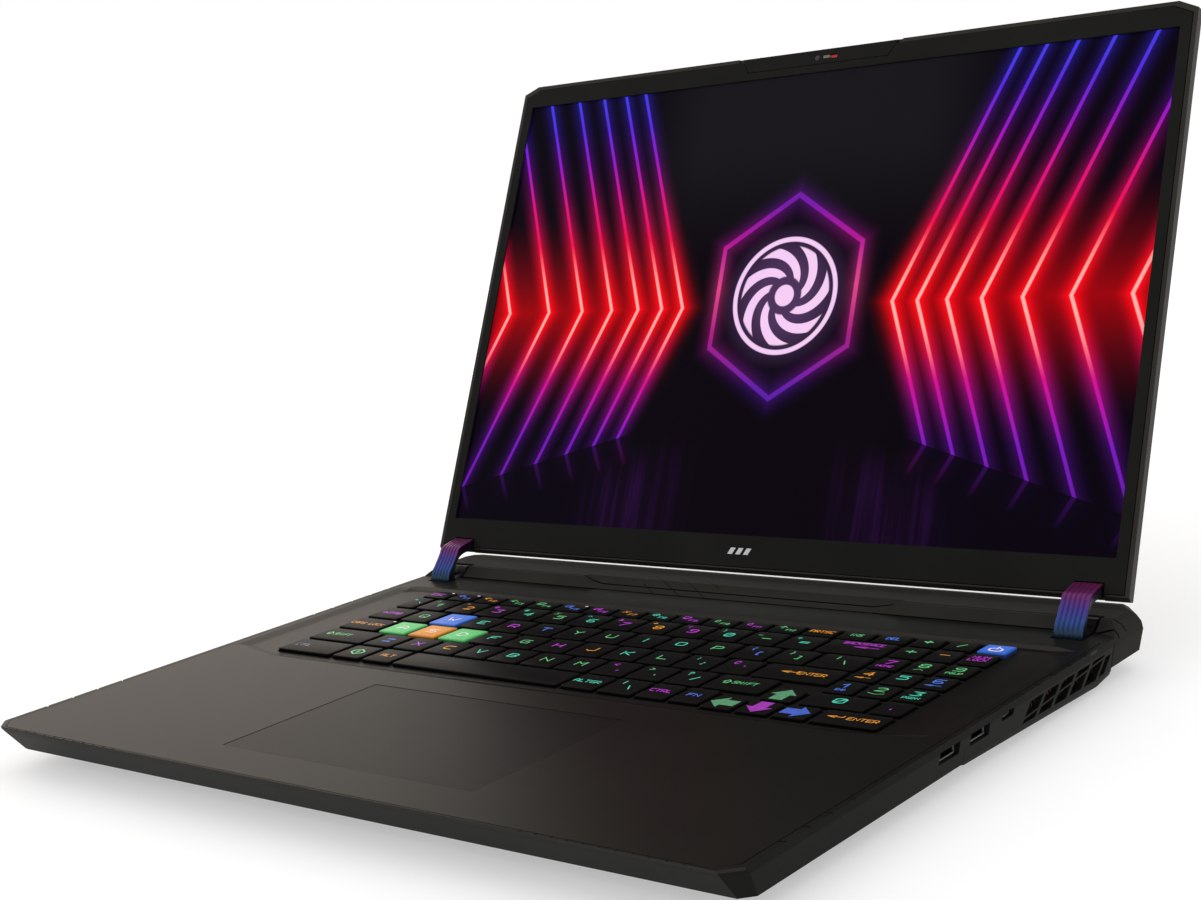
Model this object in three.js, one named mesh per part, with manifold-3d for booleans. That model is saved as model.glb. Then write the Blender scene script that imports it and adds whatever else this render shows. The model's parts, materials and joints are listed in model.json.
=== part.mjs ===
// Gaming laptop computer with a 17 inch screen, opened 115 degrees. Units are millimetres.
//
// Everything is drawn in deck coordinates: x to the right, y backwards from the front edge of the
// palm rest, z upwards from the palm rest's flat top. The last lines move the whole computer so
// that it stands on z = 0 with the middle of its bounding box on the z axis.

import * as THREE from 'three';
import { mergeVertices } from 'three/addons/utils/BufferGeometryUtils.js';
import { ConvexGeometry } from 'three/addons/geometries/ConvexGeometry.js';
import Module from 'manifold-3d';

const wasm = await Module();
wasm.setup();

// ---------------------------------------------------------------- driving dimensions

const GAP = 0.3;                  // clearance between neighbouring pieces

// base
const HALF_WIDTH = 190;           // half of the base's width
const DECK_HEIGHT = 20;           // palm rest above the table
const DECK_SHEET = 0.9;           // thickness of the palm rest's sheet
const DECK_REAR = 262;            // where the palm rest meets the rear cover
const BASE_REAR = 298;            // back of the rear cover
const CORNER = 6.3;               // chamfer of the two front corners
const BASE_BOTTOM = -17;          // underside of the bottom cover
const STEP_Y = 141;               // the side walls get deeper behind this line

// decorative groove just inside the palm rest's edges, with short slanted notches across it
const GROOVE_FRONT = 1.1;         // its distance from the front edge
const GROOVE_SIDE = 187.5;        // its distance from the middle at the sides
const GROOVE_WIDTH = 0.4;
const GROOVE_DEPTH = 0.4;
const FRONT_NOTCHES = { first: 105.5, pitch: 6.55, count: 11 };
const SIDE_NOTCHES = [{ first: 26, pitch: 13, count: 4 }, { first: 180, pitch: 12.75, count: 5 }];

// keyboard
const KEY_GAP = 2.05;             // space between two keys
const KEY_TOP = 0.2;              // key tops stand just proud of the palm rest
const KEY_BOTTOM = -3;
const KEY_TAPER = 0.5;            // how far a key's top is drawn in from its skirt
const KEY_HOLE = 0.3;             // clearance around a key in the keyboard frame
const FRAME_TOP = -1.2;           // floor of the keyboard recess
const FRAME_BOTTOM = -2;
const RAIL_TOP = -2.4;            // top of the thin rails that join the keys of one bank
const RAIL_WIDTH = 0.9;
const TAB_WIDTH = 4;              // width of the tab from a key to its rail
const BACKPLATE_TOP = -4.9;
const BACKPLATE_BOTTOM = -5.7;
const MAIN_LEFT = -158;           // left edge of the main block of keys
const COLUMNS = [117.2, 132.35, 147.5];   // left edges of the number pad's columns
const PAD_KEY = 13;               // width of a number pad key
const PAD_DEPTH = 13.8;

// touchpad
const PAD_HALF = 66;
const PAD_FRONT = 22;
const PAD_REAR = 103.5;

// lid: u across, t up from the bottom of the visible screen, n out of the screen
const LEAN = THREE.MathUtils.degToRad(64.98);   // slope of the open screen from the horizontal
const SCREEN_Y = 279.44;          // bottom edge of the visible screen
const SCREEN_Z = 26.43;
const SCREEN_HALF = 183.1;        // half of the visible screen's width
const SCREEN_TALL = 228.9;
const LID_HALF = 190.3;
const LID_BOTTOM = -17.2;
const LID_TOP = 240.8;
const LID_BACK = -6.2;
const BEZEL_FRONT = 0.4;

// lid hinges
const HINGE_Y = 268.3;            // hinge axis, parallel to x
const HINGE_Z = 1.3;
const HINGE_IN = 166.6;           // inner and outer side of a hinge cover
const HINGE_OUT = 179.2;
const PIN_RADIUS = 1.3;
const BARREL_RADIUS = 3;
const ARM_INNER = 10.4;           // radii of the arm's arch about the hinge axis
const ARM_OUTER = 12;

// cooling
const FAN_X = 127;
const FAN_Y = 231;
const FAN_RADIUS = 31.5;          // inside of the fan housing
const FAN_BLADES = 21;

// ---------------------------------------------------------------- finishes

const finish = (color, roughness, metalness) => ({ color, roughness, metalness });
const FINISH = {
  casing: finish(0x3b3a37, 0.5, 0.3),
  lid: finish(0x4a4744, 0.4, 0.6),
  bezel: finish(0x2b2b2b, 0.6, 0),
  screen: finish(0x120818, 0.2, 0),
  hinge: finish(0x5a2a7a, 0.35, 0.6),
  steel: finish(0x8c8c90, 0.35, 0.9),
  copper: finish(0xb06a3c, 0.3, 0.9),
  keys: finish(0x232324, 0.6, 0),
  glowKeys: finish(0x3fae72, 0.5, 0),
  keyboard: finish(0x1c1c1d, 0.6, 0),
  rubber: finish(0x161616, 0.9, 0),
  board: finish(0x1d2a24, 0.6, 0),
  battery: finish(0x202020, 0.7, 0),
  fan: finish(0x262626, 0.6, 0),
  socket: finish(0x9a9a9e, 0.3, 0.9),
  shutter: finish(0x55504c, 0.6, 0),
};

// ---------------------------------------------------------------- geometry to solids and back

function solid(geometry) {
  const bare = geometry.clone();
  bare.deleteAttribute('normal');
  bare.deleteAttribute('uv');
  const merged = mergeVertices(bare, 1e-4);
  const vertProperties = new Float32Array(merged.attributes.position.array);
  const triVerts = new Uint32Array(merged.index.array);
  return new wasm.Manifold(new wasm.Mesh({ numProp: 3, vertProperties, triVerts }));
}

function geometryOf(manifold) {
  const mesh = manifold.getMesh();
  const geometry = new THREE.BufferGeometry();
  geometry.setAttribute('position', new THREE.Float32BufferAttribute(mesh.vertProperties, 3));
  geometry.setIndex(Array.from(mesh.triVerts));
  geometry.computeVertexNormals();
  return geometry;
}

function block([x0, x1], [y0, y1], [z0, z1]) {
  const box = new THREE.BoxGeometry(x1 - x0, y1 - y0, z1 - z0);
  return solid(box.translate((x0 + x1) / 2, (y0 + y1) / 2, (z0 + z1) / 2));
}

function hull(points) {
  return solid(new ConvexGeometry(points.map((p) => new THREE.Vector3(...p))));
}

function extruded(outline, depth) {
  const shape = new THREE.Shape(outline.map(([a, b]) => new THREE.Vector2(a, b)));
  return new THREE.ExtrudeGeometry(shape, { depth, bevelEnabled: false });
}

// An outline in x and y, raised from z0 to z1.
function plate(outline, [z0, z1]) {
  return solid(extruded(outline, z1 - z0).translate(0, 0, z0));
}

// An outline in y and z, drawn out along x.
function prism(outline, [x0, x1]) {
  const turn = new THREE.Matrix4().makeBasis(
    new THREE.Vector3(0, 1, 0), new THREE.Vector3(0, 0, 1), new THREE.Vector3(1, 0, 0));
  return solid(extruded(outline, x1 - x0).translate(0, 0, x0).applyMatrix4(turn));
}

// A circle's outline, or part of one, as points.
function arc(cx, cy, radius, from, to, steps) {
  const points = [];
  for (let i = 0; i <= steps; i += 1) {
    const a = THREE.MathUtils.degToRad(from + ((to - from) * i) / steps);
    points.push([cx + radius * Math.cos(a), cy + radius * Math.sin(a)]);
  }
  return points;
}

const circle = (cx, cy, radius, sides = 20) => arc(cx, cy, radius, 0, 360 - 360 / sides, sides - 1);

const mirrorPoints = (points) => points.flatMap(([x, y, z]) => [[x, y, z], [-x, y, z]]);

const mirrored = (manifold) => manifold.mirror([1, 0, 0]);

// A set of solids for the right and the left side.
function bothSides(make) {
  const right = make();
  return right.add(mirrored(right));
}

const computer = new THREE.Group();
const base = new THREE.Group();
const lid = new THREE.Group();
computer.add(base, lid);

function piece(name, manifold, look, parent = base) {
  const mesh = new THREE.Mesh(geometryOf(manifold), new THREE.MeshStandardMaterial(look));
  mesh.name = name;
  parent.add(mesh);
}

function pair(name, right, look, parent = base) {
  piece(`${name}_right`, right, look, parent);
  piece(`${name}_left`, mirrored(right), look, parent);
}

// A point of the lid, given by t and n, in the deck's y and z.
function lidPoint(t, n) {
  const y = SCREEN_Y + t * Math.cos(LEAN) - n * Math.sin(LEAN);
  const z = SCREEN_Z + t * Math.sin(LEAN) + n * Math.cos(LEAN);
  return [y, z];
}

// ---------------------------------------------------------------- base casing

// Ring of a front-chamfered rectangle at one height, open to the back.
function frontRing(half, front, rear, chamfer, z) {
  return mirrorPoints([[half - chamfer, front, z], [half, front + chamfer, z], [half, rear, z]]);
}

// Outside of the palm rest and its side walls, as two convex blocks.
function caseFront(drop) {
  return hull([
    ...frontRing(HALF_WIDTH, 0, STEP_Y, CORNER, -drop),
    ...frontRing(HALF_WIDTH, 0.6, STEP_Y, CORNER, -1.2 - drop),
    ...frontRing(HALF_WIDTH, 2, STEP_Y, CORNER, -3 - drop),
    ...frontRing(187.6, 9.7, STEP_Y, 4.4, -12.35 - drop),
  ]);
}

function caseRear(drop) {
  return hull(mirrorPoints([
    [HALF_WIDTH, 138.5, -drop], [HALF_WIDTH, DECK_REAR, -drop],
    [HALF_WIDTH, 138.5, -3 - drop], [HALF_WIDTH, DECK_REAR, -3 - drop],
    [187.7, 138.5, -12.2 - drop], [187.7, DECK_REAR, -12.2 - drop],
    [186.9, STEP_Y, -13 - drop], [186.9, 247, -14.9 - drop], [186.9, DECK_REAR, -14 - drop],
  ]));
}

// The keyboard recess: gently sloped walls down through the sheet.
function keyboardRecess() {
  const edge = (grow, z) => mirrorPoints([
    [181 + grow, 131 - grow, z], [149 + grow / 2, 123.7 - grow, z],
    [181 + grow, 233 + grow, z], [172 + grow, 236.9 + grow, z],
  ]);
  return hull([...edge(3.4, 0.01), ...edge(0, -DECK_SHEET - 0.01)]);
}

// The wedge behind the palm rest's corner, where the rear cover comes round the side.
function sideWedge(shift) {
  const front = 257.2 + shift;
  return hull([
    [192, front, 0], [192, front - 2.3, -7], [192, front, -13.5], [192, front, -18],
    [181, DECK_REAR + shift, 0], [181, DECK_REAR + shift, -18],
    [192, 268, 4.2], [181, 268, 4.2], [192, 275, 4.2], [181, 275, 4.2],
    [192, 275, -18], [181, 275, -18],
  ]);
}

const VENT_TOP = -4.2;
const VENT_PITCH = 12.95;
const VENT_SLANT = 0.55;          // y gained for each unit of z
const VENT_COLUMNS = 5;

// Slanted air openings in a side wall: two rows of cells and one tall cell behind them.
function sideVents() {
  const rib = (y) => -10.3 + (y - 184) * 0.075;
  const low = (y) => -11.9 - (y - 184) * 0.022;
  const at = (y, z) => [y + (z - VENT_TOP) * VENT_SLANT, z];
  const cells = [];
  for (let i = 0; i < VENT_COLUMNS; i += 1) {
    const left = 187 + i * VENT_PITCH;
    const right = left + 10.3;
    cells.push([
      at(left, VENT_TOP), at(left, rib(left) + 0.4), at(right, rib(right) + 0.4), at(right, VENT_TOP),
    ]);
    cells.push([
      at(left, rib(left) - 0.5), at(left, low(left)), at(right, low(right)), at(right, rib(right) - 0.5),
    ]);
  }
  cells.push([at(251.3, -5.6), at(251.3, -12.8), at(256, -12.8), at(256, -5.6)]);
  return cells.map((cell) => prism(cell, [182, 193])).reduce((a, b) => a.add(b));
}

const USB_A = [[120.5, 134.4], [141.9, 155.8]];
const USB_A_HIGH = [-7.1, -2.55];
const USB_C = [164.4, 173.9];
const USB_C_HIGH = [-5.2, -2.4];

function stadium([y0, y1], [z0, z1], inset) {
  const r = (z1 - z0) / 2 - inset;
  const middle = (z0 + z1) / 2;
  const reach = (z1 - z0) / 2;
  return [
    ...arc(y1 - reach, middle, r, -90, 90, 6),
    ...arc(y0 + reach, middle, r, 90, 270, 6),
  ];
}

// The groove and its notches, for the right half of the palm rest.
function edgeGroove() {
  const height = [-GROOVE_DEPTH, 1];
  const corner = GROOVE_SIDE - CORNER;
  const turn = GROOVE_FRONT + CORNER;
  const outside = GROOVE_SIDE + GROOVE_WIDTH;
  let cut = plate([
    [-1, GROOVE_FRONT - GROOVE_WIDTH], [corner, GROOVE_FRONT - GROOVE_WIDTH], [outside, turn],
    [outside, 250], [GROOVE_SIDE, 250], [GROOVE_SIDE, turn], [corner, GROOVE_FRONT], [-1, GROOVE_FRONT],
  ], height);
  const { first, pitch, count } = FRONT_NOTCHES;
  for (let i = 0; i < count; i += 1) {
    const x = first + i * pitch;
    cut = cut.add(plate([
      [x, -1], [x + 0.7, -1], [x + 2.2, GROOVE_FRONT], [x + 1.3, GROOVE_FRONT],
    ], height));
  }
  for (const row of SIDE_NOTCHES) {
    for (let i = 0; i < row.count; i += 1) {
      const y = row.first + i * row.pitch;
      cut = cut.add(plate([
        [GROOVE_SIDE, y], [GROOVE_SIDE, y + 0.8], [HALF_WIDTH + 1, y + 2.4], [HALF_WIDTH + 1, y + 1.6],
      ], height));
    }
  }
  return cut;
}

function topCase() {
  const upperRoom = hull([
    ...frontRing(187.6, 2.6, 268, 8, -DECK_SHEET),
    ...frontRing(187.6, 3.8, 268, 8, -3),
    ...frontRing(185.2, 12, 268, 4, -12.4),
  ]);
  const lowerRoom = hull([
    ...frontRing(185.2, 12, 268, 4, -12.3), ...frontRing(185.2, 12, 268, 4, -20),
  ]);
  const inside = upperRoom.add(lowerRoom);
  const slot = block([HINGE_IN - 0.7, HINGE_OUT + 0.7], [250.6, DECK_REAR + 1], [-1.5, 1]);
  let shell = caseFront(0).add(caseRear(0)).subtract(inside);
  shell = shell.subtract(keyboardRecess());
  const padWidth = [-PAD_HALF - GAP, PAD_HALF + GAP];
  shell = shell.subtract(block(padWidth, [PAD_FRONT - GAP, PAD_REAR + GAP], [-2, 1]));
  shell = shell.subtract(bothSides(edgeGroove)).subtract(bothSides(sideVents));
  shell = shell.subtract(slot).subtract(mirrored(slot));
  shell = shell.subtract(sideWedge(0)).subtract(mirrored(sideWedge(0)));
  for (const span of USB_A) {
    shell = shell.subtract(block([182, 193], span, USB_A_HIGH));
  }
  return shell.subtract(prism(stadium(USB_C, USB_C_HIGH, 0), [182, 193]));
}

const INTAKE_ROWS = 7;

function bottomCover() {
  const floor = BASE_BOTTOM;
  const front = hull([
    ...frontRing(187.4, 9.9, STEP_Y, 4.4, -12.65),
    ...mirrorPoints([[168, 26, floor], [172, 30, floor], [172, STEP_Y, floor]]),
  ]);
  const rear = hull(mirrorPoints([
    [186.8, 138.5, -12.6], [186.8, DECK_REAR, -12.6], [186.6, STEP_Y, -13.8],
    [186.2, 247, -16.9], [186.2, DECK_REAR, -15], [172, STEP_Y, floor], [172, 255, floor],
    [174, DECK_REAR, -16.6],
  ]));
  const room = hull([
    ...mirrorPoints([[178, 15, -12], [182.5, 20, -12], [182.5, DECK_REAR + 1, -12]]),
    ...mirrorPoints([[164, 28, floor + 1.1], [169, 33, floor + 1.1], [169, DECK_REAR + 1, floor + 1.1]]),
  ]);
  let cover = front.add(rear).subtract(caseFront(GAP)).subtract(caseRear(GAP)).subtract(room);
  const wedge = sideWedge(0);
  cover = cover.subtract(wedge).subtract(mirrored(wedge));
  for (let i = 0; i < INTAKE_ROWS; i += 1) {
    const y = FAN_Y - 26 + i * 5.6;
    const slot = block([FAN_X - 27, FAN_X + 27], [y, y + 2.4], [floor - 1, floor + 2]);
    cover = cover.subtract(slot).subtract(mirrored(slot));
  }
  return cover;
}

// ---------------------------------------------------------------- rear cover

// Limits the rear cover's ends: rounded sides and chamfered rear corners.
function rearEnds(inset) {
  const ring = (half, z) => mirrorPoints([
    [half - inset, 250, z], [half - inset, 284, z], [half - 11 - inset, BASE_REAR - inset, z],
  ]);
  return hull([
    ...ring(182.5, 5.4), ...ring(187.8, 2.4), ...ring(189.6, 0), ...ring(190.1, -3),
    ...ring(187.8, -12.2), ...ring(181, -16.9),
  ]);
}

const EXHAUST_SLOTS = 13;
const INLET_X = -32;
const INLET_Z = -6;

function rearCover() {
  const front = DECK_REAR + GAP;
  const section = [
    [front, -16.5], [270, -16.9], [280, -16.9], [291, -14.5], [297.4, -9], [BASE_REAR, -2.5],
    [296.6, 1], [292, 4.1], [287.5, 4.9], [282, 4.3], [271.5, 4.2], [264.4, 1.2], [front, 0],
  ];
  const hollow = [
    [250, -15.7], [279.6, -15.7], [290.3, -13.3], [296, -8.6], [296.5, -2.6],
    [295.3, 0.4], [291.5, 2.9], [287.5, 3.6], [271.6, 3], [264.8, 0.1], [250, -1.6],
  ];
  const riser = hull([
    [76, front, 0], [89, 267.8, 4.2], [89, 272, 4.2], [89, 272, 0], [76, front, -0.8],
    [192, front, 0], [192, 267.8, 4.2], [192, 272, 4.2], [192, 272, 0], [192, front, -0.8],
  ]);
  const corner = sideWedge(GAP);
  const inside = prism(hollow, [-184, 184]).intersect(rearEnds(2.4));
  let cover = prism(section, [-192, 192]).add(riser).add(mirrored(riser));
  cover = cover.add(corner).add(mirrored(corner)).intersect(rearEnds(0)).subtract(inside);
  const slot = block([HINGE_IN - 0.7, HINGE_OUT + 0.7], [260, 272.6], [-2, 7]);
  cover = cover.subtract(slot).subtract(mirrored(slot));
  for (let i = 0; i < EXHAUST_SLOTS; i += 1) {
    const x = 66 + i * 6.4;
    const exhaust = block([x, x + 4.4], [293, 300], [-9, -1.5]);
    cover = cover.subtract(exhaust).subtract(mirrored(exhaust));
  }
  return cover.subtract(cylinderY(INLET_X, INLET_Z, 3.9, 290, 300));
}

// A round bar along y.
function cylinderY(x, z, radius, y0, y1) {
  const geometry = new THREE.CylinderGeometry(radius, radius, y1 - y0, 20);
  return solid(geometry.translate(x, (y0 + y1) / 2, z));
}

// ---------------------------------------------------------------- keyboard

const unit = (count, width) => Array(count).fill(width);

// Every key as a rectangle, row by row. name is set only on keys that move on their own.
function rowOfKeys(bank, rear, depth, left, widths, named = {}) {
  let x = left;
  return widths.map((width, i) => {
    const key = { bank, name: named[i], x0: x, x1: x + width, y0: rear - depth, y1: rear };
    x += width + KEY_GAP;
    return key;
  });
}

const MAIN_KEYS = [
  ...rowOfKeys('function_keys', 235, 10.8, MAIN_LEFT, unit(16, 15.14), { 0: 'escape_key' }),
  ...rowOfKeys('number_keys', 222.5, 17, MAIN_LEFT, [11.6, ...unit(12, 17), 30.75],
    { 13: 'backspace_key' }),
  ...rowOfKeys('upper_letter_keys', 203.5, 17, MAIN_LEFT, [19.95, ...unit(12, 17), 22.4],
    { 2: 'w_key' }),
  ...rowOfKeys('home_row_keys', 184.5, 17, MAIN_LEFT, [24.95, ...unit(11, 17), 36.45],
    { 1: 'a_key', 2: 's_key', 3: 'd_key', 12: 'enter_key' }),
  ...rowOfKeys('lower_letter_keys', 165.5, 17, MAIN_LEFT, [34.45, ...unit(10, 17), 27],
    { 0: 'left_shift_key' }),
  ...rowOfKeys('modifier_keys', 146.5, 17, MAIN_LEFT, [34.45, 17, 17, 93.9, 17, 17, 14.25, 14.25],
    { 3: 'space_bar' }),
];

const ARROW_KEYS = [
  ...rowOfKeys('arrows', 157.2, 13.6, 99.55, [14.25], { 0: 'arrow_up_key' }),
  ...rowOfKeys('arrows', 141.5, 13.8, 83.25, [14.25, 14.25, 14.25, 28.35],
    { 0: 'arrow_left_key', 1: 'arrow_down_key', 2: 'arrow_right_key', 3: 'number_pad_enter_key' }),
];

function padRow(rear, depth, columns, named = {}) {
  return columns.map((column, i) => {
    const wide = columns.length === 2 && i === 0 ? COLUMNS[1] - COLUMNS[0] : 0;
    const x0 = COLUMNS[column];
    const x1 = x0 + PAD_KEY + wide;
    return { bank: 'number_pad_keys', name: named[i], x0, x1, y0: rear - depth, y1: rear };
  });
}

const PAD_KEYS = [
  ...padRow(235, 10.8, [0, 1, 2], { 2: 'power_key' }),
  ...padRow(221.7, PAD_DEPTH, [0, 1, 2]),
  ...padRow(205.65, PAD_DEPTH, [0, 1, 2]),
  ...padRow(189.6, PAD_DEPTH, [0, 1, 2]),
  ...padRow(173.55, PAD_DEPTH, [0, 1, 2]),
  ...padRow(157.5, PAD_DEPTH, [0, 2]),
];

const ALL_KEYS = [...MAIN_KEYS, ...ARROW_KEYS, ...PAD_KEYS];
const GLOWING = ['w_key', 'a_key', 's_key', 'd_key', 'power_key'];

function keyCap({ x0, x1, y0, y1 }) {
  const ring = (inset, z) => [
    [x0 + inset, y0 + inset, z], [x1 - inset, y0 + inset, z],
    [x1 - inset, y1 - inset, z], [x0 + inset, y1 - inset, z],
  ];
  return hull([...ring(0, KEY_BOTTOM), ...ring(KEY_TAPER, KEY_TOP)]);
}

const railHeight = [KEY_BOTTOM, RAIL_TOP];

// A bank of one row: its keys, a rail in the gap in front of them and a tab from each key.
function rowBank(keys) {
  const front = keys[0].y0;
  const centre = front - 0.9;
  const rail = [centre - RAIL_WIDTH / 2, centre + RAIL_WIDTH / 2];
  const middle = (key) => (key.x0 + key.x1) / 2;
  const reach = [middle(keys[0]) - TAB_WIDTH / 2, middle(keys[keys.length - 1]) + TAB_WIDTH / 2];
  let bank = block(reach, rail, railHeight);
  for (const key of keys) {
    const tab = [middle(key) - TAB_WIDTH / 2, middle(key) + TAB_WIDTH / 2];
    bank = bank.add(keyCap(key)).add(block(tab, [centre, front + 1.5], railHeight));
  }
  return bank;
}

// The number pad's bank: a rail between its second and third columns and tabs to both sides.
function padBank(keys) {
  const centre = (COLUMNS[1] + PAD_KEY + COLUMNS[2]) / 2;
  const rail = [centre - RAIL_WIDTH / 2, centre + RAIL_WIDTH / 2];
  const lowest = Math.min(...keys.map((key) => key.y0));
  let bank = block(rail, [lowest + 3, 232], railHeight);
  for (const key of keys) {
    const y = (key.y0 + key.y1) / 2;
    const tab = [y - TAB_WIDTH / 2, y + TAB_WIDTH / 2];
    bank = bank.add(keyCap(key));
    if (key.x0 === COLUMNS[2]) {
      bank = bank.add(block([centre, key.x0 + 1.5], tab, railHeight));
    } else if (key.x1 > COLUMNS[1] + 5) {
      bank = bank.add(block([key.x1 - 1.5, centre], tab, railHeight));
    } else {
      bank = bank.add(block([key.x1 - 1.5, COLUMNS[1] + 1.5], tab, railHeight));
    }
  }
  return bank;
}

function keyboardFrame() {
  const outline = [[-186.5, 117], [186.5, 117], [186.5, 243], [-186.5, 243]];
  let frame = plate(outline, [FRAME_BOTTOM, FRAME_TOP]);
  for (const key of ALL_KEYS) {
    const across = [key.x0 - KEY_HOLE, key.x1 + KEY_HOLE];
    const along = [key.y0 - KEY_HOLE, key.y1 + KEY_HOLE];
    frame = frame.subtract(block(across, along, [FRAME_BOTTOM - 1, FRAME_TOP + 1]));
  }
  return frame;
}

function makeKeyboard() {
  piece('keyboard_frame', keyboardFrame(), FINISH.keyboard);
  const backplate = block([-162, 164.5], [124, 239], [BACKPLATE_BOTTOM, BACKPLATE_TOP]);
  piece('keyboard_backplate', backplate, FINISH.steel);
  for (const key of ALL_KEYS.filter((k) => k.name)) {
    piece(key.name, keyCap(key), GLOWING.includes(key.name) ? FINISH.glowKeys : FINISH.keys);
  }
  const joined = ALL_KEYS.filter((k) => !k.name);
  for (const bank of new Set(joined.map((k) => k.bank))) {
    const keys = joined.filter((k) => k.bank === bank);
    piece(bank, bank === 'number_pad_keys' ? padBank(keys) : rowBank(keys), FINISH.keys);
  }
}

// ---------------------------------------------------------------- base furniture

function makeFeet() {
  const z = [-DECK_HEIGHT, BASE_BOTTOM - GAP];
  piece('rear_foot', block([-150, 150], [245, 252], z), FINISH.rubber);
  pair('front_foot', block([120, 160], [36, 44], z), FINISH.rubber);
}

function usbSocketA([y0, y1]) {
  const [z0, z1] = USB_A_HIGH;
  const outer = block([174, 187.4], [y0 + 0.35, y1 - 0.35], [z0 + 0.35, z1 - 0.2]);
  const mouth = block([175, 189], [y0 + 0.85, y1 - 0.85], [z0 + 0.75, z1 - 0.6]);
  const tongue = block([174.5, 186], [y0 + 1.7, y1 - 1.7], [z1 - 2, z1 - 0.9]);
  return outer.subtract(mouth).add(tongue);
}

function usbSocketC() {
  const outer = prism(stadium(USB_C, USB_C_HIGH, 0.3), [178, 187.8]);
  const mouth = prism(stadium(USB_C, USB_C_HIGH, 0.6), [179, 189]);
  const middle = (USB_C_HIGH[0] + USB_C_HIGH[1]) / 2;
  const tongue = block([178.5, 187], [USB_C[0] + 1.9, USB_C[1] - 1.9], [middle - 0.35, middle + 0.35]);
  return outer.subtract(mouth).add(tongue);
}

function powerInlet() {
  const barrel = cylinderY(INLET_X, INLET_Z, 3.5, 284, 297);
  const mouth = cylinderY(INLET_X, INLET_Z, 2.7, 286, 299);
  return barrel.subtract(mouth).add(cylinderY(INLET_X, INLET_Z, 0.6, 285, 296));
}

function makeSockets() {
  piece('usb_a_socket_front', usbSocketA(USB_A[0]), FINISH.socket);
  piece('usb_a_socket_rear', usbSocketA(USB_A[1]), FINISH.socket);
  piece('usb_c_socket', usbSocketC(), FINISH.socket);
  piece('power_inlet', powerInlet(), FINISH.socket);
}

// ---------------------------------------------------------------- inside the base

const BOARD_TOP = -7.6;
const BOARD_BOTTOM = -9.2;

function mainboard() {
  let board = plate([
    [-86, 150], [86, 150], [86, 196], [88, 200], [88, 262], [-88, 262], [-88, 200], [-86, 196],
  ], [BOARD_BOTTOM, BOARD_TOP]);
  const chipHeight = [BOARD_BOTTOM - 1.3, BOARD_BOTTOM + 0.3];
  for (const [x, y, half] of [[-30, 222, 14], [34, 220, 17]]) {
    board = board.add(block([x - half, x + half], [y - half, y + half], chipHeight));
  }
  return board;
}

// Copper pipes flattened into one strip: over both chips and back to each heat sink.
function heatPipes() {
  const turn = arc(64, 232, 20, -90, 0, 6);
  const back = arc(64, 232, 8, 0, -90, 6);
  const right = [...turn, [84, 268.4], [72, 268.4], ...back];
  const outline = [...right, ...right.map(([x, y]) => [-x, y]).reverse()];
  return plate(outline, [-12.7, BOARD_BOTTOM - 1.6]);
}

function heatSink() {
  const fins = 16;
  const pitch = 4.8;
  let sink = block([70, 147], [269, 289.5], [-12.6, -11.4]);
  for (let i = 0; i < fins; i += 1) {
    const x = 70 + i * pitch;
    sink = sink.add(block([x, x + 1], [269, 289.5], [-12, -2]));
  }
  return sink;
}

const HOUSING = [-15.3, -7];
const HOUSING_WALL = 1;

function fanHousing() {
  const corner = (x, y) => arc(29, 29, 5, 0, 90, 2).map(([a, b]) => [FAN_X + a * x, FAN_Y + b * y]);
  const outline = [
    ...corner(1, 1), ...corner(-1, 1).reverse(), ...corner(-1, -1), ...corner(1, -1).reverse(),
  ];
  const room = [HOUSING[0] + HOUSING_WALL, HOUSING[1] - HOUSING_WALL];
  let housing = plate(outline, HOUSING);
  housing = housing.subtract(plate(circle(FAN_X, FAN_Y, FAN_RADIUS, 32), room));
  housing = housing.subtract(plate(circle(FAN_X, FAN_Y, 20, 24), [HOUSING[0] - 1, room[0] + 0.5]));
  housing = housing.subtract(block([FAN_X - 27, FAN_X + 31], [FAN_Y, FAN_Y + 40], room));
  return housing.add(plate(circle(FAN_X, FAN_Y, 1.2, 12), [room[0] + 1, HOUSING[1] - 0.5]));
}

function fanImpeller() {
  const height = [HOUSING[0] + HOUSING_WALL + 0.5, HOUSING[1] - HOUSING_WALL - 0.5];
  let wheel = plate(circle(FAN_X, FAN_Y, 12, 24), height);
  for (let i = 0; i < FAN_BLADES; i += 1) {
    const a = (i / FAN_BLADES) * 2 * Math.PI;
    const along = (r, turn, side) => {
      const b = a + turn;
      const x = r * Math.cos(b) - side * Math.sin(b);
      const y = r * Math.sin(b) + side * Math.cos(b);
      return [FAN_X + x, FAN_Y + y];
    };
    const blade = [along(11, 0, -0.35), along(29.6, 0.3, -0.3), along(29.6, 0.3, 0.3),
      along(11, 0, 0.35)];
    wheel = wheel.add(plate(blade, [height[0] + 0.6, height[1] - 0.4]));
  }
  return wheel.subtract(plate(circle(FAN_X, FAN_Y, 1.6, 12), [height[0] - 1, height[1] + 1]));
}

function batteryPack() {
  let pack = block([-148, 148], [32, 116], [-14.8, -8.4]);
  for (let i = 1; i < 4; i += 1) {
    const x = -148 + i * 74;
    pack = pack.subtract(block([x - 0.8, x + 0.8], [30, 118], [-15.5, -14]));
  }
  return pack;
}

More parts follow.
